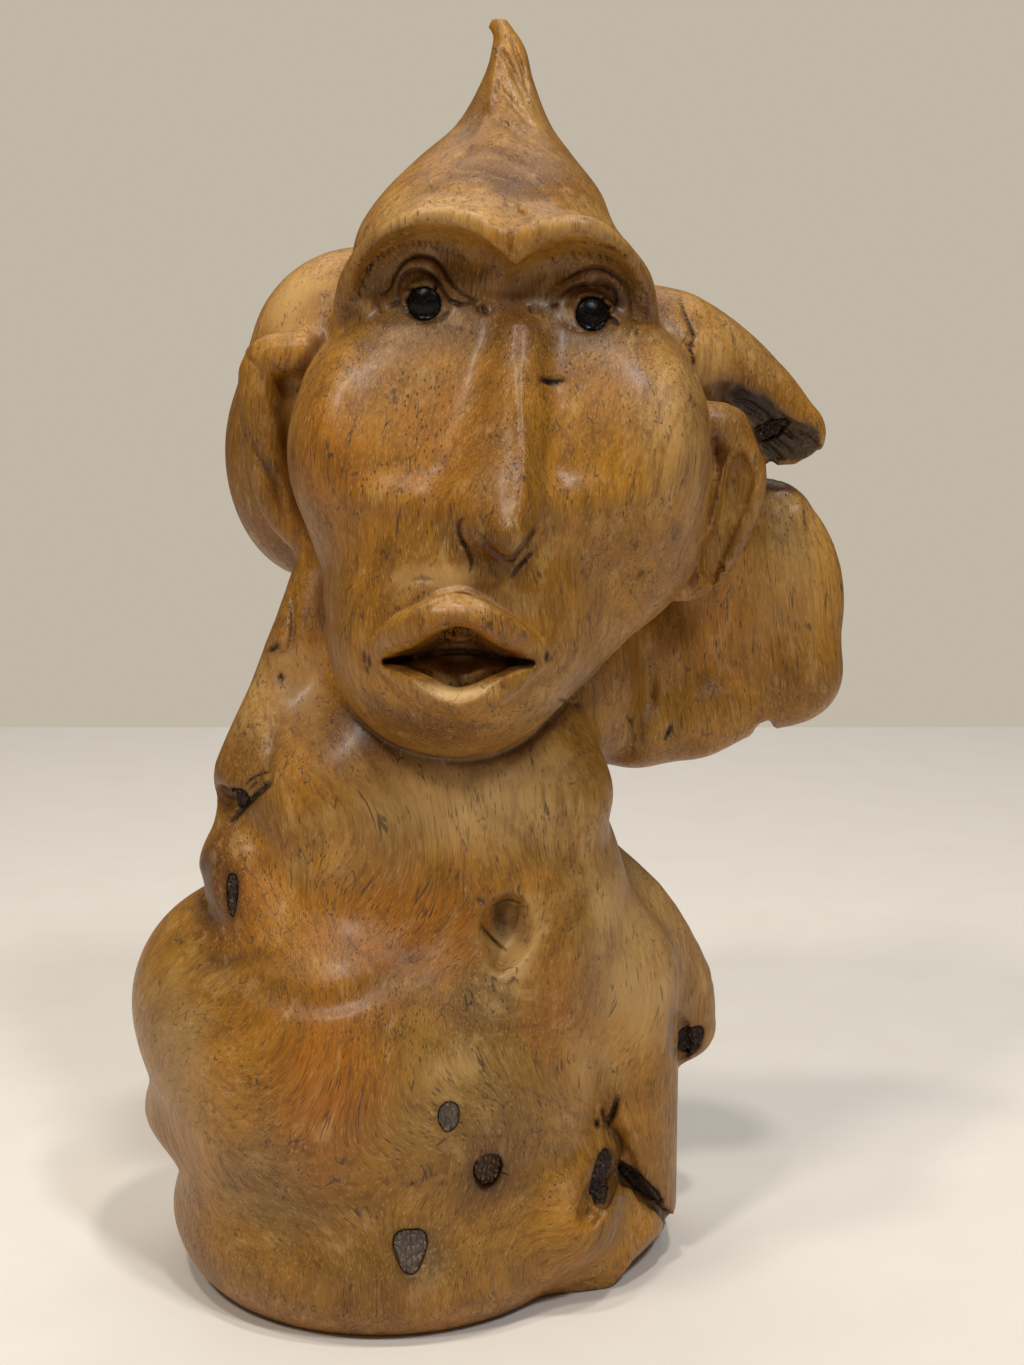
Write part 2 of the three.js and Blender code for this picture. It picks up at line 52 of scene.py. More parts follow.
MM = (ROOT_HIGH.z - ROOT_LOW.z) / FORM_HEIGHT

# Camera, in millimetres and degrees, and the picture it makes
CAMERA_AT = (19.0, -468.0, 228.0)
CAMERA_DOWN = 10.0
CAMERA_LENS = 52.0
CAMERA_SENSOR = 36.0
PICTURE = (1024, 1365)

# Fineness of the wood's mesh: cells of the grid, the shortest edge, and edges as a share of a mark's width
CELL = 1.8
FINEST = 0.38
LINE_SHARE = 0.36

# A distance beyond everything, one too small to see, the least number to divide by, and how far around
# a form its blending is felt
FAR = 1000.0
TINY = 1e-6
LEAST = 1e-9
MARGIN = 22.0

# How far two forms blend where they meet, from a knife edge to a broad slope
KEEN = 1.5
CRISP = 3.0
CLOSE = 5.5
SOFT = 8.0
BROAD = 12.0

# Points on each span of a path that is drawn finely
FINE_STEPS = 12


# Forms: a distance to the surface for many points at once, negative inside, with a box

class Form:
    """A distance function and the box that its surface lies in."""

    def __init__(self, distance, low, high):
        self.distance = distance
        self.low = np.asarray(low, float)
        self.high = np.asarray(high, float)

    def near(self, points, margin=MARGIN):
        inside = np.ones(len(points), bool)
        for values, low, high in zip(points.T, self.low - margin, self.high + margin):
            inside &= values > low
            inside &= values < high
        return inside


def length(vectors):
    return np.sqrt(np.einsum("ij,ij->i", vectors, vectors))


def turned(turn):
    """Axes turned about x, y and z, in degrees."""
    a, b, c = np.radians(turn)
    rx = np.array([[1, 0, 0], [0, math.cos(a), -math.sin(a)], [0, math.sin(a), math.cos(a)]])
    ry = np.array([[math.cos(b), 0, math.sin(b)], [0, 1, 0], [-math.sin(b), 0, math.cos(b)]])
    rz = np.array([[math.cos(c), -math.sin(c), 0], [math.sin(c), math.cos(c), 0], [0, 0, 1]])
    return rx @ ry @ rz


def oval(p, half):
    """Distance to an ellipse or ellipsoid around nought, true near its surface."""
    far = length(p / half)
    slope = length(p / np.square(half))
    return np.where(slope < LEAST, -min(half), far * (far - 1) / np.maximum(slope, LEAST))


def placed(distance, at, half, turn):
    """A form around a point, its distance told in its own turned axes."""
    at = np.asarray(at, float)
    half = np.asarray(half, float)
    axes = turned(turn)
    return Form(lambda p: distance((p - at) @ axes, half), at - half.max(), at + half.max())


def egg(at, half, turn=(0, 0, 0)):
    return placed(oval, at, half, turn)


def cushion(at, half, rounding, turn=(0, 0, 0)):
    def distance(p, half):
        q = np.abs(p) - half + rounding
        inside = np.minimum(np.maximum(np.maximum(q[:, 0], q[:, 1]), q[:, 2]), 0)
        return length(np.maximum(q, 0)) + inside - rounding

    return placed(distance, at, half, turn)


def drum(at, half, rounding, turn=(0, 0, 0)):
    def distance(q, half):
        rim = oval(q[:, [0, 2]], half[[0, 2]]) + rounding
        end = np.abs(q[:, 1]) - half[1] + rounding
        outside = np.hypot(np.maximum(rim, 0), np.maximum(end, 0))
        return outside + np.minimum(np.maximum(rim, end), 0) - rounding

    return placed(distance, at, half, turn)


def part_way(p, q, at, start, end):
    return p + (q - p) * (at - start) / (end - start)


def spline(path, steps):
    """Points on a centripetal curve through the path, evenly spread over its spans."""
    path = np.asarray(path, float)
    knots = np.vstack([2 * path[0] - path[1], path, 2 * path[-1] - path[-2]])
    out = []
    for k in range(1, len(knots) - 2):
        a, b, c, d = knots[k - 1:k + 3]
        t = np.cumsum([0] + [max(np.linalg.norm(q - p) ** 0.5, TINY) for p, q in ((a, b), (b, c), (c, d))])
        for u in np.linspace(t[1], t[2], steps, endpoint=False):
            ab = part_way(a, b, u, t[0], t[1])
            bc = part_way(b, c, u, t[1], t[2])
            cd = part_way(c, d, u, t[2], t[3])
            abc = part_way(ab, bc, u, t[0], t[2])
            bcd = part_way(bc, cd, u, t[1], t[3])
            out.append(part_way(abc, bcd, u, t[1], t[2]))
    return np.array(out + [knots[-2]])


def limb(path, girth, steps=4):
    """A round arm along a path, its radius following the girth."""
    points = spline(path, steps)
    radii = np.interp(np.linspace(0, 1, len(points)), np.linspace(0, 1, len(girth)), girth)

    def distance(p):
        near = np.full(len(p), FAR)
        for a, b, ra, rb in zip(points[:-1], points[1:], radii[:-1], radii[1:]):
            along = b - a
            from_a = p - a
            t = np.clip(from_a @ along / max(along @ along, LEAST), 0, 1)
            gone = from_a - t[:, None] * along
            near = np.minimum(near, length(gone) - ra - t * (rb - ra))
        return near

    widest = max(girth)
    return Form(distance, points.min(axis=0) - widest, points.max(axis=0) + widest)


def stack(sections):
    """Level ovals above each other, each a height, a middle and two half widths, with a smooth flank."""
    table = np.asarray(sections, float)
    heights = table[:, 0]
    slopes = np.empty_like(table)
    for k in range(len(table)):
        a, b = table[max(k - 1, 0)], table[min(k + 1, len(table) - 1)]
        slopes[k] = (b - a) / (b[0] - a[0])

    def distance(p):
        z = np.clip(p[:, 2], heights[0], heights[-1])
        k = np.clip(np.searchsorted(heights, z, side="right") - 1, 0, len(heights) - 2)
        span = heights[k + 1] - heights[k]
        t = ((z - heights[k]) / span)[:, None]
        a, b = table[k], table[k + 1]
        sa, sb = slopes[k] * span[:, None], slopes[k + 1] * span[:, None]
        at = a + t * (sa + t * (3 * (b - a) - 2 * sa - sb + t * (sa + sb - 2 * (b - a))))
        u = (p[:, 0] - at[:, 1]) / at[:, 3]
        v = (p[:, 1] - at[:, 2]) / at[:, 4]
        far = np.hypot(u, v)
        slope = np.hypot(u / at[:, 3], v / at[:, 4])
        side = np.where(far < TINY, -at[:, 3], far * (far - 1) / np.maximum(slope, LEAST))
        return np.maximum(side, np.maximum(p[:, 2] - heights[-1], heights[0] - p[:, 2]))

    low = [(table[:, 1] - table[:, 3]).min(), (table[:, 2] - table[:, 4]).min(), heights[0]]
    high = [(table[:, 1] + table[:, 3]).max(), (table[:, 2] + table[:, 4]).max(), heights[-1]]
    return Form(distance, low, high)


def smooth_min(a, b, soft):
    h = np.maximum(soft - np.abs(a - b), 0) / soft
    return np.minimum(a, b) - h * h * soft / 4


def add(form, soft=KEEN):
    return (1, form, soft)


def cut(form, soft=KEEN):
    return (-1, form, soft)


def sculpt(*strokes):
    def distance(p):
        d = np.full(len(p), FAR)
        for sign, form, soft in strokes:
            near = np.flatnonzero(form.near(p))
            if len(near):
                d[near] = sign * smooth_min(sign * d[near], form.distance(p[near]), soft)
        return d

    added = [form for sign, form, _ in strokes if sign > 0]
    low = np.min([form.low for form in added], axis=0)
    high = np.max([form.high for form in added], axis=0)
    return Form(distance, low, high)


# The figure in millimetres, its face looking along -Y: the frame's own forms, but for the rim of the
# brow, which was moved up to 2.5 mm to follow the photo

root = sculpt(
    add(egg((-12, -3, 54), (56, 50, 54))),
    add(egg((-12, -4, 14), (52, 49, 26)), BROAD),
    add(egg((-44, 2, 66), (31, 34, 30)), SOFT),
    add(egg((-51, 4, 38), (22, 26, 12)), SOFT),
    add(egg((-45, 2, 15), (20, 26, 13)), CLOSE),
    add(cushion((39, 9, 42), (21.5, 27, 48), 19), CLOSE),
    add(egg((28, -22, 22), (18, 18, 16)), CLOSE),
    add(egg((18, -2, 88), (30, 34, 32)), BROAD),
    add(limb([(24, 18, 100), (46, 21, 80), (59, 24, 62), (63, 26, 50)], [14, 14, 12, 9.5]), SOFT),
    add(egg((-2, 0, 108), (42, 33, 28)), BROAD),
    add(egg((-18, -8, 122), (26, 24, 22)), BROAD),
    add(limb([(-36, -6, 112), (-41, -10, 102), (-37, -16, 91)], [11, 15, 14]), CRISP),
    add(limb([(10, -14, 124), (28, -12, 121)], [20, 15]), CLOSE),
)
neck = sculpt(
    add(egg((2, 4, 140), (33, 30, 40))),
    add(limb([(-24, 4, 176), (-31, -3, 152), (-43, -8, 125)], [8, 9.5, 8.5]), CLOSE),
    add(egg((34, 18, 148), (18, 20, 26)), BROAD),
)
flap = sculpt(
    add(egg((78, 33, 160), (26, 13, 33))),
    add(egg((90, 33, 142), (14, 12, 13)), CLOSE),
    add(egg((78, 33, 136), (12, 12, 9)), CRISP),
    add(egg((62, 30, 133), (18, 13, 13)), CLOSE),
    add(egg((50, 26, 131), (12, 14, 12)), CLOSE),
    add(egg((67, 28, 178), (14, 12, 18)), CLOSE),
    add(egg((53, 26, 151), (13, 12, 18)), CLOSE),
)
hair = sculpt(
    add(egg((-17, 20, 221), (28, 24, 28))),
    add(egg((-30, 24, 199), (22, 22, 31)), CLOSE),
    add(limb([(24, 14, 224), (56, 16, 222), (76, 19, 214), (88, 20, 205)], [18, 17, 11, 7.5], FINE_STEPS),
        CLOSE),
    add(limb([(66, 20, 206), (80, 21, 203), (88.5, 21, 202.5)], [9, 7, 5.5]), CLOSE),
    cut(cushion((82, 6.6, 198.9), (15, 10, 16), 2, (40, 0, 0))),
)
eye_hollow = sculpt(
    add(drum((-0.6, -53, 232), (21.6, 20, 20.5), 6, (-10, 0, -14))),
    add(drum((35.3, -53, 226), (20.5, 20, 23.5), 6, (-10, 0, 14))),
    add(cushion((19, -53, 229), (12, 20, 12.5), 6)),
)
BROW = [
    (-18.5, -22.5, 228.5), (-16.7, -30.5, 239.5), (-9.3, -38, 248.5), (0, -42, 252.5), (10, -43, 252),
    (18, -43, 248), (26, -43, 250), (35, -42, 250.5), (42.6, -37, 245.8), (48.2, -28, 236.6),
    (50.2, -20, 225),
]
visor = sculpt(
    add(stack([
        (229, 15, -6, 37, 34), (236, 15.3, -8, 36.8, 36), (243, 15.8, -9, 34, 35.5),
        (252, 13.5, -9, 29, 33), (260, 14.5, -7, 24.5, 27.5), (268, 15.5, -4, 17.5, 19.5),
        (275, 17, -2, 11, 12.5), (285, 18, 0, 6, 6.5), (293, 18.2, 1, 3.6, 3.6), (299, 16, 2, 1.6, 1.6),
    ])),
    add(limb(BROW, [2, 2, 2, 2, 1.8, 1.8, 1.8, 2, 2, 2, 2], 8), CLOSE),
    add(limb([(24, -38.5, 250.5), (32, -36.5, 249.5), (37.8, -32, 246.2), (42.6, -25, 239.2)],
             [3, 3, 3, 2.8]), CLOSE),
    cut(eye_hollow, 0.6),
)
skull = sculpt(
    add(limb([(16, -6, 205), (5, -20, 160)], [44, 28])),
    add(egg((43, -8, 186), (19, 26, 24)), SOFT),
    add(limb([(44, -10, 182), (28, -18, 161)], [17, 14]), SOFT),
    add(egg((-7, -23, 203), (24, 24, 25)), BROAD),
    add(egg((42, -22, 204), (21, 24, 25)), BROAD),
    add(egg((18, -25, 200), (18, 24, 26)), BROAD),
    add(egg((8, -34, 164), (26, 20, 24)), BROAD),
    cut(cushion((18, -59.2, 224.5), (36, 20, 22), 4, (-19, 0, 0)), SOFT),
    add(visor),
)


# Rays of the picture: the surface point under a pixel

BEFORE_ALL = -90.0
PIXELS_PER_UNIT = CAMERA_LENS / CAMERA_SENSOR * max(PICTURE)
CAMERA_TILT = math.radians(CAMERA_DOWN)
GRADIENT_STEP = 0.12

# Walking a ray to the surface: rounds, share of the distance at each, and the longest steps back and on
MARCH_ROUNDS = 45
MARCH_SHARE = 0.75
MARCH_BACK, MARCH_ON = -4, 15


def gradient(form, points, d):
    out = np.empty_like(points)
    for axis in range(3):
        step = np.zeros(3)
        step[axis] = GRADIENT_STEP
        out[:, axis] = (form.distance(points + step) - d) / GRADIENT_STEP
    return out


def normals_of(form, points):
    g = gradient(form, points, form.distance(points))
    return g / np.maximum(length(g), LEAST)[:, None]


def march(form, points, directions):
    """Points moved along their directions until they lie on the form."""
    points = points.copy()
    for _ in range(MARCH_ROUNDS):
        d = np.clip(form.distance(points), MARCH_BACK, MARCH_ON)
        points += MARCH_SHARE * d[:, None] * directions
    return points


def seen(form, pixels):
    pixels = np.asarray(pixels, float)
    right = np.array([1.0, 0.0, 0.0])
    forward = np.array([0.0, math.cos(CAMERA_TILT), -math.sin(CAMERA_TILT)])
    up = np.array([0.0, math.sin(CAMERA_TILT), math.cos(CAMERA_TILT)])
    across = (pixels[:, :1] - PICTURE[0] / 2) / PIXELS_PER_UNIT
    rise = (PICTURE[1] / 2 - pixels[:, 1:]) / PIXELS_PER_UNIT
    rays = forward + across * right + rise * up
    start = np.array(CAMERA_AT) + rays * ((BEFORE_ALL - CAMERA_AT[1]) / rays[:, 1:2])
    return march(form, start, rays / np.linalg.norm(rays, axis=1)[:, None])


# Surface of a field: cells of a grid first, then finer faces where the carving needs them

CORNERS = [(i, j, k) for k in (0, 1) for j in (0, 1) for i in (0, 1)]

# The first look at the field: cells in a block, how near the surface a block counts, blocks done at once
COARSE = 4
COARSE_REACH = 1.25
BATCH = 4000


def lattice(shape):
    """All whole-number places in a box."""
    return np.stack(np.meshgrid(*[np.arange(s) for s in shape], indexing="ij"), axis=-1).reshape(-1, 3)


def sampled(form, low, shape, cell):
    """The field on a grid, worked out only near the surface."""
    step = COARSE
    coarse_shape = [s // step + 2 for s in shape]
    d = form.distance(low + lattice(coarse_shape) * (step * cell)).reshape(coarse_shape)
    out = np.repeat(np.repeat(np.repeat(d, step, 0), step, 1), step, 2)
    out = out[:shape[0], :shape[1], :shape[2]].copy()
    away = np.abs(d)
    least = away[:-1, :-1, :-1].copy()
    a, b, c = least.shape
    for i, j, k in CORNERS:
        least = np.minimum(least, away[i:i + a, j:j + b, k:k + c])
    blocks = np.argwhere(least < COARSE_REACH * step * cell)
    inner = lattice([step] * 3)
    for part in np.array_split(blocks, max(1, len(blocks) // BATCH)):
        index = (part[:, None] * step + inner).reshape(-1, 3)
        index = index[(index < np.array(shape)).all(axis=1)]
        out[tuple(index.T)] = form.distance(low + index * cell)
    return out


def surface_net(form, low, high, cell):
    """Quads through the grid's cells that the surface crosses, a point in the middle of each crossing."""
    low = np.asarray(low, float)
    shape = tuple(np.ceil((np.asarray(high) - low) / cell).astype(int) + 2)
    d = sampled(form, low, shape, cell)
    inside = d < 0
    count = np.zeros([s - 1 for s in shape], np.int8)
    for i, j, k in CORNERS:
        count += inside[i:shape[0] - 1 + i, j:shape[1] - 1 + j, k:shape[2] - 1 + k]
    cells = np.argwhere((count > 0) & (count < 8))
    number = np.full(count.shape, -1, np.int64)
    number[tuple(cells.T)] = np.arange(len(cells))
    total = np.zeros((len(cells), 3))
    hits = np.zeros(len(cells))
    for axis in range(3):
        for a in CORNERS:
            if a[axis]:
                continue
            b = list(a)
            b[axis] = 1
            da = d[tuple((cells + a).T)]
            db = d[tuple((cells + b).T)]
            crossed = (da < 0) != (db < 0)
            t = np.where(crossed, da / np.where(crossed, da - db, 1), 0)
            at = np.tile(np.asarray(a, float), (len(cells), 1))
            at[:, axis] = t
            total += np.where(crossed[:, None], at, 0)
            hits += crossed
    points = low + (cells + total / hits[:, None]) * cell
    quads = []
    for axis in range(3):
        u, v = (axis + 1) % 3, (axis + 2) % 3
        window = [slice(1, -1)] * 3
        window[axis] = slice(0, -1)
        a = inside[tuple(window)]
        window[axis] = slice(1, None)
        b = inside[tuple(window)]
        for sign, crossed in ((1, a & ~b), (-1, b & ~a)):
            at = np.argwhere(crossed) + 1
            at[:, axis] -= 1
            ring = []
            for du, dv in ((0, 0), (-1, 0), (-1, -1), (0, -1)):
                c = at.copy()
                c[:, u] += du
                c[:, v] += dv
                ring.append(number[tuple(c.T)])
            ring = np.stack(ring, axis=1)
            quads.append(ring if sign > 0 else ring[:, ::-1])
    quads = np.vstack(quads)
    return points, quads[(quads >= 0).all(axis=1)]


def triangles_of(points, quads):
    """Each quad split along its shorter diagonal."""
    one = np.linalg.norm(points[quads[:, 0]] - points[quads[:, 2]], axis=1)
    two = np.linalg.norm(points[quads[:, 1]] - points[quads[:, 3]], axis=1)
    turn = (two < one)[:, None]
    q = np.where(turn, np.roll(quads, -1, axis=1), quads)
    return np.vstack([q[:, [0, 1, 2]], q[:, [0, 2, 3]]])


def edges_of(faces):
    return np.vstack([faces[:, [0, 1]], faces[:, [1, 2]], faces[:, [2, 0]]])


# New triangles of a face by which of its edges are split: corners are 0 to 2, middles of edges 3 to 5
ONE, TWO, ALL = (True, False, False), (True, True, False), (True, True, True)
SPLITS = {
    ONE: ((0, 3, 2), (3, 1, 2)),
    TWO: ((3, 1, 4), (0, 3, 4), (0, 4, 2)),
    ALL: ((0, 3, 5), (3, 1, 4), (5, 4, 2), (3, 4, 5)),
}
SPLIT_ABOVE = 1.35

# Bringing points back onto the surface: the least slope squared, and the longest move
LEAST_SQUARE = 0.2
LONGEST_MOVE = 0.6


def refine(points, faces, wanted):
    """One round of splitting: each edge longer than wanted there gets a middle point."""
    pairs = np.sort(edges_of(faces), axis=1)
    edges, which = np.unique(pairs, axis=0, return_inverse=True)
    which = which.reshape(3, len(faces)).T
    ends = points[edges]
    middle = (ends[:, 0] + ends[:, 1]) / 2
    long = np.linalg.norm(ends[:, 0] - ends[:, 1], axis=1) > SPLIT_ABOVE * wanted(middle)
    new = np.full(len(edges), -1)
    new[long] = len(points) + np.arange(long.sum())
    middles = new[which]
    split = middles >= 0
    out = [faces[split.sum(axis=1) == 0]]
    for first, pattern in [(0, ONE), (0, TWO), (1, ONE), (1, TWO), (2, ONE), (2, TWO), (0, ALL)]:
        order = [first, (first + 1) % 3, (first + 2) % 3]
        known = np.hstack([faces[:, order], middles[:, order]])
        chosen = known[(split[:, order] == pattern).all(axis=1)]
        out += [chosen[:, part] for part in SPLITS[pattern]]
    return np.vstack([points, middle[long]]), np.vstack(out)


def relaxed(form, points, faces, evenly):
    """Points spread more evenly over the surface, then brought back onto it."""
    pairs = edges_of(faces)
    total = np.zeros_like(points)
    count = np.zeros(len(points))
    for a, b in ((0, 1), (1, 0)):
        np.add.at(total, pairs[:, a], points[pairs[:, b]])
        np.add.at(count, pairs[:, a], 1)
    move = total / np.maximum(count, 1)[:, None] - points
    return onto(form, points + evenly * move)


def onto(form, points, rounds=2):
    """Points brought onto the surface that they lie near."""
    points = points.copy()
    for _ in range(rounds):
        d = form.distance(points)
        g = gradient(form, points, d)
        square = np.maximum(np.einsum("ij,ij->i", g, g), LEAST_SQUARE)
        points -= np.clip(d / square, -LONGEST_MOVE, LONGEST_MOVE)[:, None] * g
    return points


# Relief: carving that follows the surface, drawn in pixels of the picture where the camera sees it

# How deep marks reach, the blocks of the depth map, how blunt grooves end and how fast a mark's darkness
# builds, painted shade in its groove and the dark of cracks
REACH = 13.0
BLOCK = 6
END_SHARE = 0.02
SHADE_AND_STAIN_GAIN = 1.6


def pixels_of(points):
    """Where the camera sees points, and how far ahead of it they are."""
    x, y, z = (points - np.array(CAMERA_AT)).T
    ahead = y * math.cos(CAMERA_TILT) - z * math.sin(CAMERA_TILT)
    above = y * math.sin(CAMERA_TILT) + z * math.cos(CAMERA_TILT)
    size = PIXELS_PER_UNIT / ahead
    return PICTURE[0] / 2 + size * x, PICTURE[1] / 2 - size * above, ahead


def off_path(uv, path):
    """Distance to a path, and how far along it the nearest point lies."""
    path = np.asarray(path, float)
    lengths = np.concatenate([[0], np.cumsum(length(np.diff(path, axis=0)))])
    near = np.full(len(uv), np.inf)
    where = np.zeros(len(uv))
    for a, b, s, span in zip(path[:-1], path[1:], lengths[:-1], np.diff(lengths)):
        t = np.clip((uv - a) @ (b - a) / max(span * span, LEAST), 0, 1)
        d = length(uv - a - t[:, None] * (b - a))
        closer = d < near
        near[closer] = d[closer]
        where[closer] = (s + t[closer] * span) / lengths[-1]
    return near, where


def off_outline(uv, outline):
    """Signed distance to a closed outline, negative inside."""
    outline = np.asarray(outline, float)
    near, _ = off_path(uv, np.vstack([outline, outline[:1]]))
    inside = np.zeros(len(uv), bool)
    for (ax, ay), (bx, by) in zip(outline, np.roll(outline, -1, axis=0)):
        spans = (ay > uv[:, 1]) != (by > uv[:, 1])
        side = ax + (uv[:, 1] - ay) * (bx - ax) / (by - ay if by != ay else LEAST)
        inside ^= spans & (uv[:, 0] < side)
    return np.where(inside, -near, near)


class Relief:
    """A carved mark: pixels it runs through, its share of the depth around them, and how dark it is:
    painted shade in most grooves, the real dark in cracks.
    """

    def __init__(self, pixels, shape, depth, width, dark):
        self.pixels = pixels
        self.shape = shape
        self.depth = depth
        self.width = width
        self.dark = dark


def curved(path, steps=4):
    flat = np.asarray(path, float)
    return spline(np.column_stack([flat, np.zeros(len(flat))]), steps)[:, :2]


def furrow(path, width, depth, dark=0.0, tip=0.0):
    """A groove along a path, its width and depth in millimetres, thinning towards its ends."""
    smooth = curved(path)

    def shape(uv, size):
        d, t = off_path(uv, smooth)
        share = tip + (1 - tip) * np.sqrt(np.sin(math.pi * np.clip(t, END_SHARE, 1 - END_SHARE)))
        across = np.clip(1 - (d / size / (width / 2)) ** 2, 0, 1)
        return share * across ** 2

    return Relief(smooth, shape, depth, width, dark)


def bowl(outline, depth, wall, dark=0.0):
    """An area sunk by a depth, its wall sloping over a width."""
    smooth = curved(list(outline) + [outline[0]])[:-1]

    def shape(uv, size):
        inside = np.clip(-off_outline(uv, smooth) / size / wall, 0, 1)
        return inside * inside * (3 - 2 * inside)

    return Relief(smooth, shape, depth, 3 * wall, dark)


class Carving:
    """All marks laid on a form: maps of the picture with their depth, darkness and fineness; the darkness
    is painted shade in the grooves and the dark of cracks.
    """

    def __init__(self, base, marks):
        wide, tall = PICTURE
        self.depth = np.zeros((tall, wide))
        self.dark = np.zeros((tall, wide))
        self.fine = np.full((tall, wide), FAR)
        middles = [mark.pixels[len(mark.pixels) // 2] for mark in marks]
        for mark, ahead in zip(marks, pixels_of(seen(base, middles))[2]):
            self.lay(mark, PIXELS_PER_UNIT / ahead)
        rows, columns = np.nonzero(self.depth)
        blocks = np.unique(np.stack([rows // BLOCK, columns // BLOCK], 1), axis=0)
        self.ahead = np.full((tall // BLOCK + 1, wide // BLOCK + 1), -FAR)
        self.ahead[tuple(blocks.T)] = pixels_of(seen(base, blocks[:, ::-1] * BLOCK + BLOCK / 2))[2]

    def lay(self, mark, size):
        pad = mark.width * size + 2
        low = np.maximum(mark.pixels.min(axis=0) - pad, 0).astype(int)
        high = np.minimum(mark.pixels.max(axis=0) + pad, PICTURE).astype(int)
        area = (slice(low[1], high[1]), slice(low[0], high[0]))
        u, v = np.meshgrid(np.arange(low[0], high[0]), np.arange(low[1], high[1]))
        share = mark.shape(np.stack([u.ravel(), v.ravel()], 1).astype(float), size).reshape(u.shape)
        self.depth[area] += mark.depth * share
        self.dark[area] = np.maximum(self.dark[area], mark.dark * np.clip(SHADE_AND_STAIN_GAIN * share, 0, 1))
        edge = max(FINEST, LINE_SHARE * mark.width)
        self.fine[area] = np.minimum(self.fine[area], np.where(share > 0, edge, FAR))

    def read(self, layer, points, missing=0.0):
        """A map's values at points, where they are the surface seen in the picture."""
        u, v, ahead = pixels_of(points)
        inside = (u > 0) & (v > 0) & (u < PICTURE[0] - 1) & (v < PICTURE[1] - 1)
        column = np.where(inside, u, 0).astype(int)
        row = np.where(inside, v, 0).astype(int)
        inside &= ahead < self.ahead[row // BLOCK, column // BLOCK] + REACH
        row, column = row[inside], column[inside]
        across, down = u[inside] - column, v[inside] - row
        upper = layer[row, column] * (1 - across) + layer[row, column + 1] * across
        lower = layer[row + 1, column] * (1 - across) + layer[row + 1, column + 1] * across
        out = np.full(len(points), float(missing))
        out[inside] = upper * (1 - down) + lower * down
        return out

    def on(self, base):
        """The form with its marks cut into it."""

        def distance(p):
            d = base.distance(p)
            near = np.flatnonzero(np.abs(d) < REACH)
            d[near] += self.read(self.depth, p[near])
            return d

        return Form(distance, base.low, base.high)


# The head: eyeballs, nose and lips, then the carved lines

# Eyeballs: radius, how proud they stand, their other half sizes as shares, and how they blend in
EYE_RADIUS = 6.0
EYE_PROUD = 2.2
EYE_DEEP, EYE_TALL = 0.85, 0.95
EYE_SOFT = 0.8


def ball(form, pixel):
    """An eyeball under a pixel, standing a little proud of the form."""
    at = seen(form, [pixel])[0]
    centre = at + normals_of(form, at[None])[0] * (EYE_PROUD - EYE_DEEP * EYE_RADIUS)
    return egg(centre, (EYE_RADIUS, EYE_DEEP * EYE_RADIUS, EYE_TALL * EYE_RADIUS))


head = sculpt(
    add(skull),
    add(ball(skull, (426, 297)), EYE_SOFT),
    add(ball(skull, (590, 308)), EYE_SOFT),
    add(limb([(18, -38, 218), (12.5, -49, 191)], [3, 6]), SOFT),
    add(limb([(20.7, -38, 228), (20.5, -47.5, 206), (18.5, -57.5, 187)], [2.6, 3, 4], 10), SOFT),
    cut(egg((15, -66, 174.5), (12, 12, 7)), CRISP),
    add(limb([(-9, -51, 161.5), (-3, -58, 167), (6, -61, 170), (14, -59, 168), (24, -51, 161.5)],
             [2.2, 4.2, 4.6, 4.2, 2.2]), CRISP),
    add(limb([(-8, -51, 158.5), (0, -57, 154.5), (8, -59, 152), (16, -57, 154), (24, -51, 158.5)],
             [2, 3.5, 4, 3.5, 2]), CRISP),
)
LEFT_FOLD = [
    (381, 293), (389, 289), (395, 275), (404, 262), (416, 256), (429, 257), (440, 264), (448, 277),
    (456, 288), (468, 296), (479, 301),
]
LEFT_LID = [
    (398, 297), (400, 284), (405, 275), (416, 270), (428, 273), (438, 282), (445, 293), (451, 301),
    (461, 304), (476, 303),
]
LEFT_UNDER = [(451, 303), (448, 313), (438, 320), (426, 323), (414, 318), (405, 312), (399, 303)]
LEFT_LID_BODY = [
    (386, 299), (393, 291), (398, 279), (405, 267), (416, 263), (428, 265), (439, 273), (447, 285),
    (454, 295), (466, 301),
]
RIGHT_FOLD = [
    (559, 283), (568, 277), (582, 270), (598, 267), (612, 273), (624, 284), (629, 299), (631, 315),
    (638, 323),
]
RIGHT_LID = [
    (554, 306), (560, 297), (572, 288), (588, 284), (602, 284), (612, 288), (615, 297), (614, 307),
    (610, 317),
]
RIGHT_UNDER = [(559, 318), (567, 327), (578, 331), (588, 332), (600, 325), (609, 316)]
RIGHT_LID_BODY = [(556, 296), (566, 284), (584, 277), (600, 275), (614, 281), (621, 293), (623, 310)]

# Stitches inside the brow: path, their number, height in pixels and width in millimetres
LASHES = [
    ([(357, 300), (362, 287), (367, 275), (374, 263), (384, 254), (397, 248), (412, 243), (426, 244),
      (440, 248), (452, 252), (463, 257)], 24, 6, 0.62),
    ([(553, 259), (566, 254), (578, 254), (590, 256), (602, 257), (610, 259), (618, 262)], 9, 5, 0.7),
    ([(556, 245), (570, 243), (586, 242), (602, 245), (616, 250), (630, 258)], 22, 4, 0.42),
    ([(640, 286), (646, 296), (648, 308), (645, 320)], 7, 7, 0.5),
    ([(346, 310), (352, 296), (358, 284), (364, 272)], 9, 4, 0.4),
]

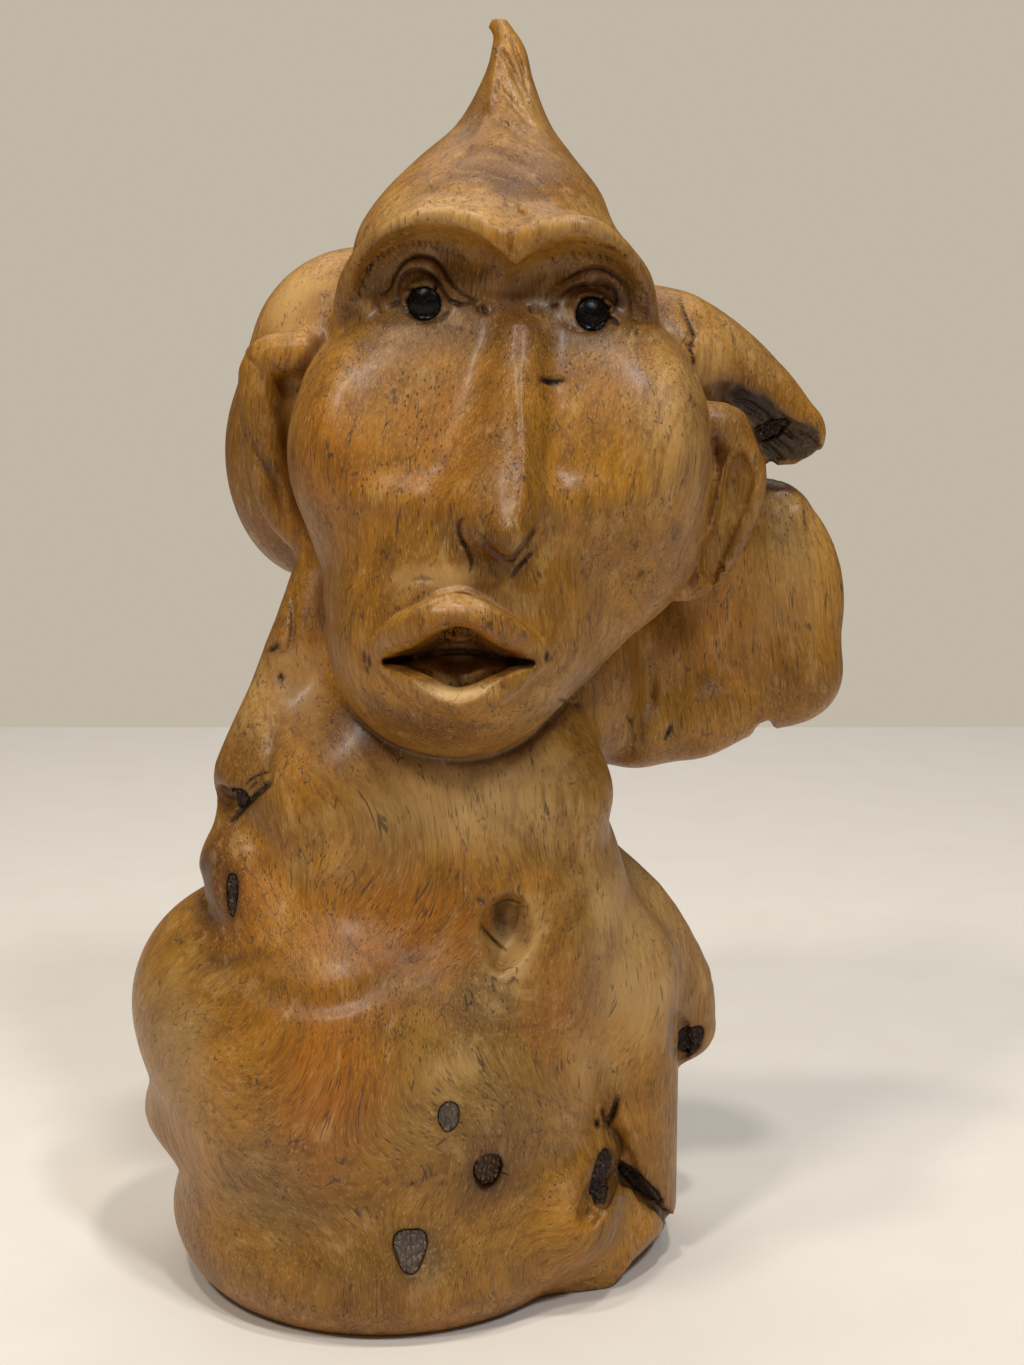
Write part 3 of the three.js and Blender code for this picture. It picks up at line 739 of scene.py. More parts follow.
UPPER_LIP_EDGE = [
    (376, 640), (392, 627), (415, 612), (433, 600), (448, 594), (461, 592), (474, 596), (498, 613),
    (518, 628), (535, 638), (543, 648),
]
LOWER_LIP_EDGE = [
    (386, 670), (402, 675), (420, 688), (440, 700), (460, 705), (478, 698), (493, 685), (512, 675),
    (530, 670),
]
LIP_DISH = [
    (384, 661), (405, 648), (438, 620), (460, 613), (482, 621), (512, 654), (532, 663), (512, 672),
    (493, 681), (477, 693), (460, 701), (440, 695), (420, 682), (402, 670),
]
OPENING = [
    (384, 657), (405, 652), (420, 638), (440, 623), (460, 618), (480, 625), (497, 643), (512, 655),
    (531, 659), (531, 667), (512, 666), (493, 669), (477, 676), (460, 679), (440, 675), (420, 667),
    (400, 665), (385, 665),
]
SLIT = [(386, 661), (404, 659), (425, 655), (448, 652), (470, 652), (495, 657), (514, 661), (531, 663)]

# Grooves of the spike and furrows of the forehead: path, width and depth, both scaled by grooves()
SPIKE_GROOVES = [
    ([(510, 36), (515, 50), (521, 66), (525, 82), (529, 98)], 1.0, 0.5),
    ([(500, 48), (507, 60), (514, 74), (520, 88), (527, 104)], 1.5, 0.6),
    ([(495, 84), (504, 94), (514, 106), (523, 117), (533, 130)], 1.9, 0.65),
    ([(491, 117), (503, 124), (512, 132), (523, 141), (538, 154)], 2.0, 0.65),
    ([(489, 149), (501, 154), (512, 160), (525, 168)], 2.2, 0.6),
    ([(492, 36), (482, 63), (472, 90), (461, 116)], 1.2, 0.4),
    ([(488, 108), (478, 120), (470, 132), (457, 151)], 2.6, 0.6),
    ([(488, 148), (475, 153), (467, 158), (459, 166)], 2.6, 0.55),
]
FOREHEAD = [
    ([(410, 198), (435, 193), (455, 192), (472, 197), (497, 205), (515, 215), (532, 224)], 1.9, 0.4),
    ([(486, 185), (505, 190), (530, 197), (549, 198)], 2.4, 0.45),
    ([(458, 168), (487, 172), (513, 180), (530, 182)], 1.3, 0.25),
    ([(440, 180), (470, 178), (500, 182), (530, 190)], 1.0, 0.16),
    ([(428, 205), (460, 202), (490, 209), (512, 222)], 1.1, 0.18),
    ([(452, 174), (476, 176), (500, 177), (524, 187)], 0.8, 0.14),
    ([(532, 208), (552, 212), (572, 210)], 1.6, 0.25),
    ([(514, 205), (518, 212), (527, 216)], 1.3, 0.5),
    ([(512, 226), (511, 240), (510, 253)], 1.0, 0.3),
]


def dashes(path, count, tall, width):
    """Short knife marks set side by side along a path, each leaning across it."""
    chosen = np.linspace(0, FINE_STEPS * (len(path) - 1), count).astype(int)
    marks = []
    for k, (u, v) in enumerate(curved(path, FINE_STEPS)[chosen]):
        shift = math.sin(7.3 * k + u)
        lean = 0.35 + 0.3 * math.sin(3.1 * k)
        half = tall * (0.4 + 0.15 * shift)
        top = (u - lean * half + shift, v - half)
        foot = (u + lean * half + shift, v + half)
        marks.append(furrow([top, foot], width, 0.35, 0.75 + 0.2 * shift, 0.5))
    return marks


def grooves(table, wider, deeper, dark):
    """A table's grooves, their widths and depths scaled to millimetres."""
    return [furrow(path, wider * width, deeper * depth, dark) for path, width, depth in table]


head_lines = grooves(SPIKE_GROOVES, 1.3, 1.9, 0.16) + grooves(FOREHEAD, 1.6, 1.3, 0.2)
for lashes in LASHES:
    head_lines += dashes(*lashes)
head_lines += [
    furrow([(497, 46), (495, 67), (493, 83), (489, 106)], 3.0, -0.9, tip=0.3),
    furrow(LEFT_LID_BODY, 3.4, -0.8),
    furrow(RIGHT_LID_BODY, 3.4, -0.6),
    furrow(LEFT_LID, 1.1, 0.8, 0.8, 0.3),
    furrow(LEFT_FOLD, 1.1, 0.7, 0.8, 0.2),
    furrow(LEFT_UNDER, 1.0, 0.6, 0.8, 0.2),
    furrow(RIGHT_LID, 1.0, 0.7, 0.75),
    furrow(RIGHT_FOLD, 1.0, 0.55, 0.6),
    furrow(RIGHT_UNDER, 0.9, 0.45, 0.5),
    furrow([(391, 306), (400, 301)], 1.8, 0.8, 0.9, 0.3),
    furrow([(451, 301), (461, 305)], 1.7, 0.8, 1, 0.3),
    furrow([(610, 318), (618, 324)], 1.5, 0.9, 1, 0.6),
    furrow([(551, 306), (557, 305)], 1.2, 0.5, 0.9, 0.5),
    furrow([(477, 306), (480, 311)], 0.9, 0.4, 0.7, 0.6),
    furrow([(483, 307), (486, 313)], 1.3, 0.6, 1, 0.7),
    furrow([(377, 302), (379, 308), (382, 313)], 0.9, 0.4, 0.8),
    furrow([(529, 307), (530, 312)], 1.0, 0.4, 0.8, 0.6),
    furrow([(632, 327), (628, 335)], 0.8, 0.35, 0.8),
    furrow([(638, 329), (636, 336)], 0.8, 0.35, 0.8),
    furrow([(511, 234), (511, 244), (510, 255)], 0.9, 0.4, 0.2, 0.4),
    furrow([(519, 366), (521, 410), (524, 455), (521, 500), (510, 538)], 4, -1.0),
    furrow([(541, 380), (551, 383), (561, 382)], 1.8, 1.1, 1, 0.4),
    furrow([(466, 515), (459, 525), (460, 535), (467, 549), (472, 562), (471, 572)], 1.1, 0.9, 0.75),
    furrow([(532, 551), (522, 563), (515, 571), (509, 580)], 1.1, 0.9, 0.75),
    furrow([(478, 533), (489, 545), (500, 555), (512, 559)], 1.8, 0.6, 0.3),
    furrow([(538, 524), (528, 537), (520, 548), (512, 559)], 1.6, 0.6, 0.45),
    furrow([(482, 514), (483, 527)], 0.6, 0.3, 0.8),
    furrow([(485, 529), (486, 541)], 0.6, 0.3, 0.8),
    furrow([(514, 521), (515, 533)], 0.6, 0.3, 0.7),
    furrow([(490, 564), (492, 574)], 0.6, 0.3, 0.7),
    furrow([(495, 568), (496, 578)], 0.6, 0.3, 0.6),
    bowl(LIP_DISH, 2.6, 6.0),
    bowl(OPENING, 4.2, 4.5, 0.45),
    furrow(SLIT, 1.5, 1.4, 0.8, 1.0),
    furrow([(386, 662), (396, 661), (406, 659)], 2.6, 1.2, 0.7, 1.0),
    furrow([(510, 661), (521, 663), (531, 664)], 2.6, 1.2, 0.7, 1.0),
    furrow(UPPER_LIP_EDGE, 3.0, -0.7, tip=0.2),
    furrow(LOWER_LIP_EDGE, 2.4, -0.9, tip=0.2),
    furrow([(364, 650), (366, 664)], 0.8, 0.4, 0.9),
    furrow([(369, 655), (370, 668)], 0.8, 0.4, 0.9),
    furrow([(366, 665), (368, 673)], 0.7, 0.3, 0.8),
    furrow([(547, 652), (546, 660)], 1.5, 0.5, 0.9, 0.5),
    furrow([(551, 655), (550, 661)], 0.8, 0.3, 0.7),
    furrow([(411, 581), (420, 579), (432, 580)], 1.4, 0.2, 0.45),
    furrow([(421, 574), (423, 588)], 1.4, 0.2, 0.45),
]
head_carving = Carving(head, head_lines)
face = head_carving.on(head)
body = sculpt(
    add(root),
    add(egg((34, -11, 6), (20, 14, 14)), SOFT),
    add(neck, BROAD),
    add(flap, SOFT),
    add(hair, CLOSE),
    add(face, KEEN),
    add(limb([(-30, -2, 224), (-39, 0, 222), (-40, 2, 206), (-36, 2, 188), (-28, 0, 178)],
             [5, 5, 5, 5, 4]), CRISP),
    add(limb([(58, -2, 208), (70, 0, 206), (74, 2, 194), (70, 3, 182), (64, 2, 170), (56, 0, 168)],
             [5, 5.5, 5.5, 6, 4, 3]), CRISP),
    add(egg((63, 4, 189), (12, 8, 20)), CRISP),
    cut(egg((-50, -16, 120), (4.5, 7, 3.6))),
    cut(limb([(37, -37, 26), (41, -31, 32), (45, -20, 34), (51, -15, 21)], [3, 4, 3, 1.6])),
    cut(limb([(41, -21, 53), (41, -20, 43), (45, -18, 36)], [1, 2, 2.4]), CRISP),
    add(limb([(17, 2, 296.4), (14.2, 2, 297.4)], [1.3, 0.5]), KEEN),
    cut(egg((107, 33, 148.4), (3.2, 14, 1.5)), 0.8),
    cut(egg((83.5, 33, 128.6), (2.8, 14, 3.2), (0, 25, 0)), 0.8),
    cut(cushion((61.7, -3.5, -4.5), (10, 22, 22), 2, (0, 44, -20.6)), CRISP),
    cut(limb([(-58, -22, -0.5), (-46, -38, -0.5), (-28, -49.5, -0.5), (-8, -54, -0.5)],
             [2, 2.8, 2.8, 1.5])),
)
NAVEL = [
    (503, 891), (514, 889), (526, 893), (533, 904), (537, 920), (538, 934), (534, 951), (526, 961),
    (514, 971), (501, 978), (490, 973), (483, 961), (478, 947), (476, 933), (476, 918), (481, 907),
    (490, 896),
]
EAR_HOLLOW = [
    (741, 446), (730, 456), (724, 480), (718, 506), (710, 530), (700, 542), (697, 560), (698, 574),
    (708, 584), (716, 588), (723, 572), (735, 546), (746, 520), (754, 499), (758, 484), (756, 470),
    (748, 452),
]
SCOOP = [(580, 1205), (595, 1207), (605, 1214), (600, 1223), (591, 1230), (583, 1224), (578, 1212)]
LOBE_UNDERSIDE = [
    (723, 396), (738, 384), (753, 393), (767, 396), (778, 408), (798, 420), (813, 425), (819, 433),
    (821, 448), (810, 462), (790, 462), (777, 463), (771, 470), (763, 460), (753, 437), (743, 413),
]
HIP_HOLLOW = [
    (668, 1008), (679, 1011), (688, 1018), (693, 1034), (693, 1049), (686, 1061), (673, 1061), (667, 1042),
]
LEFT_POCKET = [
    (616, 1158), (609, 1168), (602, 1178), (594, 1186), (590, 1197), (594, 1207), (603, 1212), (610, 1208),
    (615, 1196), (619, 1184),
]
RIGHT_POCKET = [
    (615, 1157), (624, 1162), (637, 1172), (645, 1184), (656, 1198), (672, 1219), (666, 1229), (656, 1214),
    (647, 1208), (640, 1198), (632, 1189), (620, 1187),
]
JAW_LINE = [
    (606, 662), (578, 690), (552, 719), (522, 744), (492, 757), (465, 761), (435, 758), (405, 750),
    (376, 736), (352, 714),
]
CHEST_EDGE = [
    (196, 962), (224, 970), (258, 988), (303, 1003), (337, 1003), (372, 989), (410, 958), (441, 930),
]
body_lines = [
    bowl(NAVEL, 9.0, 6.0),
    furrow([(508, 896), (501, 907), (500, 922), (503, 934)], 4.5, 0.3, 0.65, 0.4),
    furrow([(481, 925), (494, 940), (505, 950)], 0.9, 1.2, 1, 0.2),
    furrow([(492, 906), (501, 902), (511, 900), (518, 903)], 0.8, 0.8, 0.9),
    furrow([(479, 899), (483, 902)], 1.6, 0.5, 0.9, 0.5),
    bowl(EAR_HOLLOW, 2.4, 2.0, 0.1),
    furrow([(738, 446), (728, 458), (722, 480), (716, 506), (708, 530), (698, 544), (695, 562)],
           2.2, -0.6, tip=0.3),
    furrow([(703, 412), (710, 427), (713, 442), (716, 470)], 2.2, 0.8, 0.2),
    furrow([(678, 295), (682, 307), (688, 323), (693, 340), (689, 347), (692, 357), (694, 374)],
           0.9, 1.0, 1),
    furrow([(557, 699), (568, 702), (580, 707)], 0.8, 0.6, 1),
    furrow([(671, 725), (668, 732), (665, 739)], 1.5, 0.6, 1, 0.4),
    furrow([(637, 579), (641, 573), (645, 570)], 1.5, 0.5, 0.6),
    furrow([(627, 718), (633, 723)], 1.3, 0.6, 0.8, 0.5),
    furrow([(640, 642), (648, 676), (646, 700), (638, 724), (626, 750)], 8, 2.0, 0.15),
    furrow([(775, 482), (790, 490), (802, 503), (800, 516)], 6, -1.3),
    furrow([(770, 528), (765, 552), (757, 585)], 4, 0.6),
    furrow([(243, 352), (258, 368), (264, 382)], 2.0, 0.6, 0.3),
    furrow([(250, 437), (262, 461), (275, 481), (281, 505), (282, 523)], 3.0, 1.2, 0.35),
    furrow([(293, 590), (293, 632), (288, 650), (272, 654)], 2.0, 1.1, 0.3),
    furrow([(271, 650), (277, 646)], 2.0, 0.9, 1, 0.5),
    furrow([(281, 674), (281, 682)], 1.7, 0.9, 1, 0.5),
    furrow([(281, 715), (275, 735), (272, 752), (270, 772)], 4, 1.0, 0.3),
    furrow([(231, 825), (244, 809), (258, 795), (270, 784), (273, 776)], 1.8, 1.5, 1),
    furrow([(244, 786), (252, 779), (262, 774), (272, 771)], 1.0, 0.6, 0.8),
    furrow([(250, 790), (256, 783), (263, 784)], 0.9, 0.5, 0.8),
    furrow([(209, 850), (204, 880), (209, 908), (222, 922)], 4, 0.9, 0.5),
    furrow([(203, 961), (226, 965), (245, 960), (274, 953)], 5, 1.3, 0.35),
    furrow(CHEST_EDGE, 9, 0.9, 0.15, 0.3),
    furrow(JAW_LINE, 2.4, 0.25, 0.5, 0.2),
    furrow([(350, 846), (339, 867), (318, 874), (309, 892), (290, 920)], 6, -0.7),
    furrow([(617, 1097), (613, 1112), (606, 1124)], 2.0, 1.6, 1, 0.2),
    furrow([(601, 1108), (603, 1117), (606, 1124)], 1.2, 0.8, 0.9),
    furrow([(596, 1121), (597, 1126)], 1.5, 0.9, 1, 0.6),
    furrow([(606, 1126), (614, 1133), (619, 1142), (619, 1151), (615, 1161)], 2.6, 1.2, 0.4, 0.4),
    furrow([(612, 1164), (603, 1177), (593, 1186), (584, 1202)], 3.0, 1.2, 0.2, 0.3),
    bowl(RIGHT_POCKET, 2.6, 0.8, 0.8),
    bowl(LEFT_POCKET, 2.2, 0.9, 0.6),
    furrow([(664, 1208), (671, 1219), (666, 1232)], 1.6, 2.0, 1, 0.4),
    bowl(SCOOP, 1.4, 2.0),
    bowl(HIP_HOLLOW, 1.2, 1.4, 0.3),
    bowl(LOBE_UNDERSIDE, 0.7, 0.9, 0.92),
    furrow([(744, 408), (760, 416), (780, 428), (800, 442)], 2.0, 0.9, 1, 0.2),
    furrow([(735, 400), (748, 402), (768, 416), (792, 436)], 1.4, 0.8, 1, 0.2),
    furrow([(752, 424), (768, 434), (790, 452)], 1.8, 0.9, 1, 0.2),
    furrow([(757, 440), (770, 448), (782, 460)], 1.6, 0.8, 1, 0.2),
    furrow([(788, 430), (802, 433), (816, 445)], 1.2, 0.7, 1, 0.2),
]
body_carving = Carving(body, body_lines)
figure = body_carving.on(body)


# Pieces let into the wood: the same line, outline and depth as in the frame, a hair's gap around them

GAP = 0.12
WAVES = 3
SOCKET_SOFT = 0.5

# Start and end of the line, width, height, depth, how far sunk, roll in degrees, narrowing and wave
INLAYS = {
    "left_pupil": ((0, -90, 234.6), (0, 0, 234.6), 7, 7, 7, 0.4, 0, 0, 0),
    "right_pupil": ((36.4, -90, 232.4), (36.4, 0, 232.4), 7, 7, 7, 0.4, 0, 0, 0),
    "belly_knot": ((15, -90, 38), (12, 0, 43), 6.5, 9.5, 14, 1.6, 0, 0.2, 0.05),
    "pin_knot": ((5.5, -90, 53), (4, 0, 59), 4.6, 7, 9, 0.4, 0, 0.2, 0.04),
    "low_bark": ((-4, -90, 20), (-4, 0, 29), 8, 10, 5, 0.5, 0, 0.3, 0.12),
    "foot_bark": ((42, -90, 24), (40, 0, 32), 6, 11, 8, 0.5, 25, 0.3, 0.12),
    "crack_bark": ((49.5, -90, 21), (50.5, 0, 23), 4, 15, 6, 0.4, -42, 0.2, 0.06),
    "stub_bark": ((-49, -90, 119), (-44, 0, 122), 5.5, 4.6, 7, 0.5, 0, 0.3, 0.08),
    "lobe_bark": ((79, -90, 178), (81, 20, 206), 11, 5, 5, 0.3, -25, 0.3, 0.12),
    "hip_bark": ((64, -60, 30), (65, 30, 52), 7, 9, 6, 0.3, 0, 0.3, 0.1),
    "arm_bark": ((-51.5, -90, 98), (-44, 0, 101), 2.8, 10, 5, 0.3, 0, 0.3, 0.08),
}


def plug(surface, start, end, wide, tall, deep, sunk, roll, narrowing, wave, grown=0.0):
    """The outline driven along its line, from its depth below the surface to well above it."""
    start, end = np.array(start, float), np.array(end, float)
    inward = (end - start) / np.linalg.norm(end - start)
    side = np.cross((0, 0, 1), inward)
    side /= np.linalg.norm(side)
    up = np.cross(inward, side)
    a = math.radians(roll)
    side, up = side * math.cos(a) + up * math.sin(a), up * math.cos(a) - side * math.sin(a)

    def distance(p):
        q = p - start
        depth = q @ inward - surface
        x, y = q @ side, q @ up
        angle = np.arctan2(y / tall, x / wide)
        outline = (1 + wave * np.sin(WAVES * angle)) * (1 - narrowing * np.clip(depth / deep, 0, 1))
        half_x = wide / 2 * outline + grown
        half_y = tall / 2 * outline + grown
        far = np.hypot(x / half_x, y / half_y)
        slope = np.hypot(x / half_x ** 2, y / half_y ** 2)
        rim = np.where(far < TINY, -half_x, far * (far - 1) / np.maximum(slope, LEAST))
        return np.maximum(rim, np.maximum(depth - deep - grown, -deep / 2 - 1 - depth))

    centre = start + inward * (surface + deep / 2)
    reach = max(wide, tall, deep) + 2
    return Form(distance, centre - reach, centre + reach)


starts = np.array([inlay[0] for inlay in INLAYS.values()], float)
lines = np.array([inlay[1] for inlay in INLAYS.values()], float) - starts
lines /= length(lines)[:, None]
surfaces = length(march(figure, starts, lines) - starts)
unbroken = figure
sockets = [plug(surface, *inlay, GAP) for surface, inlay in zip(surfaces, INLAYS.values())]
figure = sculpt(add(unbroken), *[cut(socket, SOCKET_SOFT) for socket in sockets])


def mesh_object(name, points, faces):
    mesh = bpy.data.meshes.new(name)
    mesh.vertices.add(len(points))
    mesh.vertices.foreach_set("co", (np.asarray(points) * MM).ravel())
    size = faces.shape[1]
    mesh.loops.add(faces.size)
    mesh.loops.foreach_set("vertex_index", faces.ravel())
    mesh.polygons.add(len(faces))
    mesh.polygons.foreach_set("loop_start", np.arange(0, faces.size, size))
    mesh.update(calc_edges=True)
    mesh.polygons.foreach_set("use_smooth", [True] * len(faces))
    made = bpy.data.objects.new(name, mesh)
    bpy.context.scene.collection.objects.link(made)
    return made


def wobble(points, size, seed):
    """A smooth unevenness between -1 and 1, the same on every run."""
    total = np.zeros(len(points))
    for k in range(6):
        a, b = 2.4 * k + seed, 1.7 * k + 0.8 * seed
        way = np.array([math.sin(a) * math.cos(b), math.sin(b), math.cos(a) * math.cos(b)])
        total += np.sin(points @ way * (2 * math.pi / size) * (1 + 0.17 * k) + 5.1 * k + seed)
    return total / 3.5


# How uneven a piece's face is, in millimetres
ROUGHNESS = {"pupil": 0.03, "dead_knot": 0.35, "grey_knot": 0.15, "bark": 0.5}
SLOTS = {part["node"]: part["material_slot"] for part in frame["record"]["subparts"]}

# A piece narrower than this gets the finer cells
SMALL_PIECE = 8
SMALL_CELL, LARGE_CELL = 0.3, 0.42


def inlay_piece(name, surface, inlay):
    start, end, wide, tall, deep, sunk = inlay[:6]
    body = plug(surface, *inlay)
    rough = ROUGHNESS[SLOTS[name]]
    line = np.array(end) - start
    centre = np.array(start) + (surface + deep / 2) * line / length(line[None])

    def distance(p):
        relief = rough * (wobble(p, 2.6, wide) + 0.6 * wobble(p, 1.1, tall))
        return np.maximum(body.distance(p), unbroken.distance(p) + sunk + relief)

    reach = np.full(3, max(wide, tall) / 2 + 1.5)
    reach[1] = deep + 1
    shape = Form(distance, centre - reach, centre + reach)
    cell = SMALL_CELL if max(wide, tall) < SMALL_PIECE else LARGE_CELL
    points, quads = surface_net(shape, shape.low, shape.high, cell)
    piece = mesh_object("inlaid_" + name, points, quads)
    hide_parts(name)
    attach(piece, "root")
    return piece, points


inlaid = {}
for surface, (name, inlay) in zip(surfaces, INLAYS.items()):
    inlaid[name] = inlay_piece(name, surface, inlay)


# The wood's mesh: coarse where it is smooth, finer where it is carved, sawn level at the foot

# Rounds of splitting, how far points are evened out, and room around the grid
ROUNDS = 3
EVENLY = 0.3
AROUND = 3

# Longest edge at the rim of a socket, and how far the rim reaches
RIM_EDGE, RIM_REACH = 0.7, 1.2

# Low corner, high corner and longest edge
FINE_BOXES = [
    ((-24, -75, 148), (62, -12, 262), 1.8),
    ((-20, -60, 220), (57, -14, 257), 0.8),
    ((-12, -75, 150), (30, -45, 190), 1.0),
    ((-10, -75, 158), (26, -45, 184), 0.64),
    ((4, -20, 262), (32, 20, 300), 0.78),
    ((-4, -30, 258), (38, 30, 302), 1.2),
    ((52, -25, 160), (96, 30, 232), 1.4),
    ((-60, -40, 84), (-24, 20, 136), 1.5),
    ((28, -50, 8), (62, 0, 62), 1.15),
    ((6, -55, 80), (28, -20, 108), 1.15),
]


def wanted(points):
    size = np.full(len(points), FAR)
    for low, high, edge in FINE_BOXES:
        inside = ((points > low) & (points < high)).all(axis=1)
        size[inside] = np.minimum(size[inside], edge)
    for carving in (head_carving, body_carving):
        size = np.minimum(size, carving.read(carving.fine, points, FAR))
    for socket in sockets:
        near = np.flatnonzero(socket.near(points, 2))
        at_rim = np.abs(socket.distance(points[near])) < RIM_REACH
        size[near] = np.where(at_rim, RIM_EDGE, size[near])
    return size


solid = Form(lambda p: np.maximum(figure.distance(p), -p[:, 2]), figure.low, figure.high)
grid_low = figure.low - AROUND
grid_low[2] = -2.5 * CELL
points, quads = surface_net(solid, grid_low, figure.high + AROUND, CELL)
faces = triangles_of(points, quads)
points = relaxed(solid, points, faces, EVENLY)
for _ in range(ROUNDS):
    count = len(points)
    points, faces = refine(points, faces, wanted)
    points[count:] = onto(solid, points[count:])
points[:, 2] = np.maximum(points[:, 2], 0)
wood = mesh_object("wood", points, faces)


# What the wood's colour follows, painted shade and light among it, kept at each point of the mesh

def keep(piece, name, values, kind="FLOAT"):
    layer = piece.data.attributes.new(name, kind, "POINT")
    key = "vector" if kind == "FLOAT_VECTOR" else "value"
    layer.data.foreach_set(key, np.asarray(values, float).ravel())


# How far around it looks for what encloses a point, and the share of each look, for the shade painted into
# creases and hollows
HOLLOWS = ((6, 0.6), (14, 0.4))


def shade_at(points, normals, reach):
    """How enclosed a point is by the surface around it."""
    return np.clip(1 - figure.distance(points + reach * normals) / reach, 0, 1)


# Swirls of the grain: middle, radius and turn
SWIRLS = [
    ((-46, 64), 26, 1.3), ((6, 58), 20, -1.1), ((28, 22), 15, 1.6), ((-14, 102), 20, 0.8),
    ((17, 95), 12, 0.9), ((-34, 30), 16, -1.2), ((40, 60), 16, 0.7),
]


def grain_at(points):
    """The grain's own coordinates in millimetres: upright in the head, swirling in the burl."""
    x, y, z = points.T.copy()
    for (cx, cz), radius, angle in SWIRLS:
        dx, dz = x - cx, z - cz
        turn = angle * np.exp(-(dx * dx + dz * dz) / radius ** 2)
        x = cx + dx * np.cos(turn) - dz * np.sin(turn)
        z = cz + dx * np.sin(turn) + dz * np.cos(turn)
    return np.stack([x + 3 * np.sin(z / 23), y + 2 * np.sin(z / 31), z], 1)


# Soft patches of colour in pixels of the picture, some of them painted light and some painted shade:
# middle, half sizes, tilt in degrees and strength
PATCHES = {
    # pale wood laid over the crease shade, and painted light on the navel's lit floor, the lower lip, hip,
    # left of the neck and hair
    "bare": [
        (511, 938, 24, 37, 0, 1.0), (457, 690, 32, 9, 0, 1.0), (640, 905, 46, 60, -30, 0.4),
        (640, 1000, 40, 46, 0, 0.65), (300, 685, 24, 44, 0, 0.55), (455, 800, 95, 40, -8, 0.4),
        (180, 1060, 30, 80, 0, 0.35), (445, 577, 44, 13, 0, 0.5), (600, 1060, 30, 34, 0, 0.4),
        (790, 600, 40, 50, 0, 0.25), (280, 295, 36, 42, 0, 0.8),
    ],
    # amber wood, with painted light on the left of the neck
    "amber": [
        (322, 1085, 56, 110, 5, 1.0), (470, 640, 60, 40, 0, 0.5), (300, 690, 30, 70, 10, 0.8),
        (330, 470, 60, 80, 0, 0.6), (440, 440, 50, 60, 0, 0.5), (400, 930, 110, 60, 0, 0.8),
        (560, 1010, 40, 60, 0, 0.6), (240, 900, 40, 50, 0, 0.8), (735, 620, 70, 60, 0, 0.5),
    ],
    "olive": [
        (285, 1190, 70, 70, 0, 0.9), (470, 1100, 90, 110, 0, 0.8), (400, 1255, 130, 40, 0, 0.6),
        (495, 1000, 60, 50, 0, 0.7), (160, 1060, 40, 120, 0, 0.7), (590, 950, 50, 60, 0, 0.5),
        (760, 560, 40, 90, 0, 0.4), (560, 690, 60, 40, 0, 0.4),
    ],
    # pale tone, with painted light on the hair and the left of the neck and painted highlights on the
    # right cheek, spike and lobe edge
    "pale": [
        (530, 110, 18, 50, -15, 0.5), (460, 603, 60, 14, 0, 0.7), (262, 700, 40, 60, 0, 0.9),
        (690, 400, 40, 90, 10, 0.8), (420, 215, 90, 24, -5, 0.9), (600, 225, 70, 24, 8, 0.7),
        (460, 800, 110, 50, -10, 0.7), (640, 905, 50, 80, -30, 1.0), (520, 800, 70, 60, 0, 0.8),
        (300, 262, 60, 30, -30, 0.9), (455, 1068, 28, 18, -25, 0.8), (745, 340, 50, 30, 35, 0.5),
        (455, 688, 34, 12, 0, 1.0), (512, 938, 22, 34, 0, 1.0), (800, 540, 36, 50, 0, 0.5),
        (130, 1050, 24, 90, 0, 0.5),
    ],
    # deep: mostly painted shade, in the eye hollows under the brow, the brow's shadow on the cheek, under
    # the chin and in the navel, hip and stub hollows; the rest dark wood at the arm's end, knots, bark
    # pockets and under the lobe
    "deep": [
        (212, 885, 17, 66, 4, 1.0), (520, 174, 50, 18, 6, 0.7), (440, 728, 50, 14, 4, 0.4),
        (425, 295, 85, 55, 0, 0.75), (600, 305, 75, 55, 0, 0.7), (515, 322, 60, 44, 0, 0.8),
        (560, 372, 90, 14, -10, 0.5), (760, 410, 50, 26, 30, 0.6), (600, 1190, 20, 22, 0, 0.7),
        (646, 1190, 36, 12, 50, 0.7), (487, 1172, 17, 27, 0, 0.6), (750, 398, 34, 18, 30, 0.9),
        (678, 1030, 16, 34, 0, 0.8), (502, 912, 12, 16, 30, 0.7), (235, 812, 22, 20, -40, 0.8),
        (270, 640, 10, 30, 0, 0.5),
    ],
    # brown: dark wood, and painted shade under the jaw and of the brow on the left cheek
    "brown": [
        (520, 170, 80, 34, 10, 1.0), (465, 110, 22, 70, 15, 1.0), (520, 185, 60, 22, 12, 1.0),
        (497, 548, 40, 36, 0, 0.9), (498, 450, 26, 80, 0, 0.5), (222, 890, 32, 76, 0, 0.9),
        (420, 738, 120, 28, 14, 1.0), (232, 770, 36, 60, 0, 0.8), (735, 400, 50, 60, 30, 0.6),
        (380, 610, 50, 60, 0, 0.4), (395, 380, 70, 30, 0, 0.5), (490, 1172, 40, 46, 0, 0.9),
        (615, 1180, 40, 40, 0, 0.6), (255, 470, 30, 90, 0, 0.6), (370, 1270, 120, 50, 0, 0.4),
        (790, 690, 60, 40, 0, 0.4),
    ],
    "grey": [
        (425, 300, 70, 46, 0, 0.8), (600, 305, 66, 50, 0, 0.8), (515, 300, 50, 60, 0, 0.5),
        (423, 1258, 26, 30, 0, 0.9), (485, 1010, 36, 40, 0, 0.6), (480, 770, 60, 20, 0, 0.4),
    ],
}


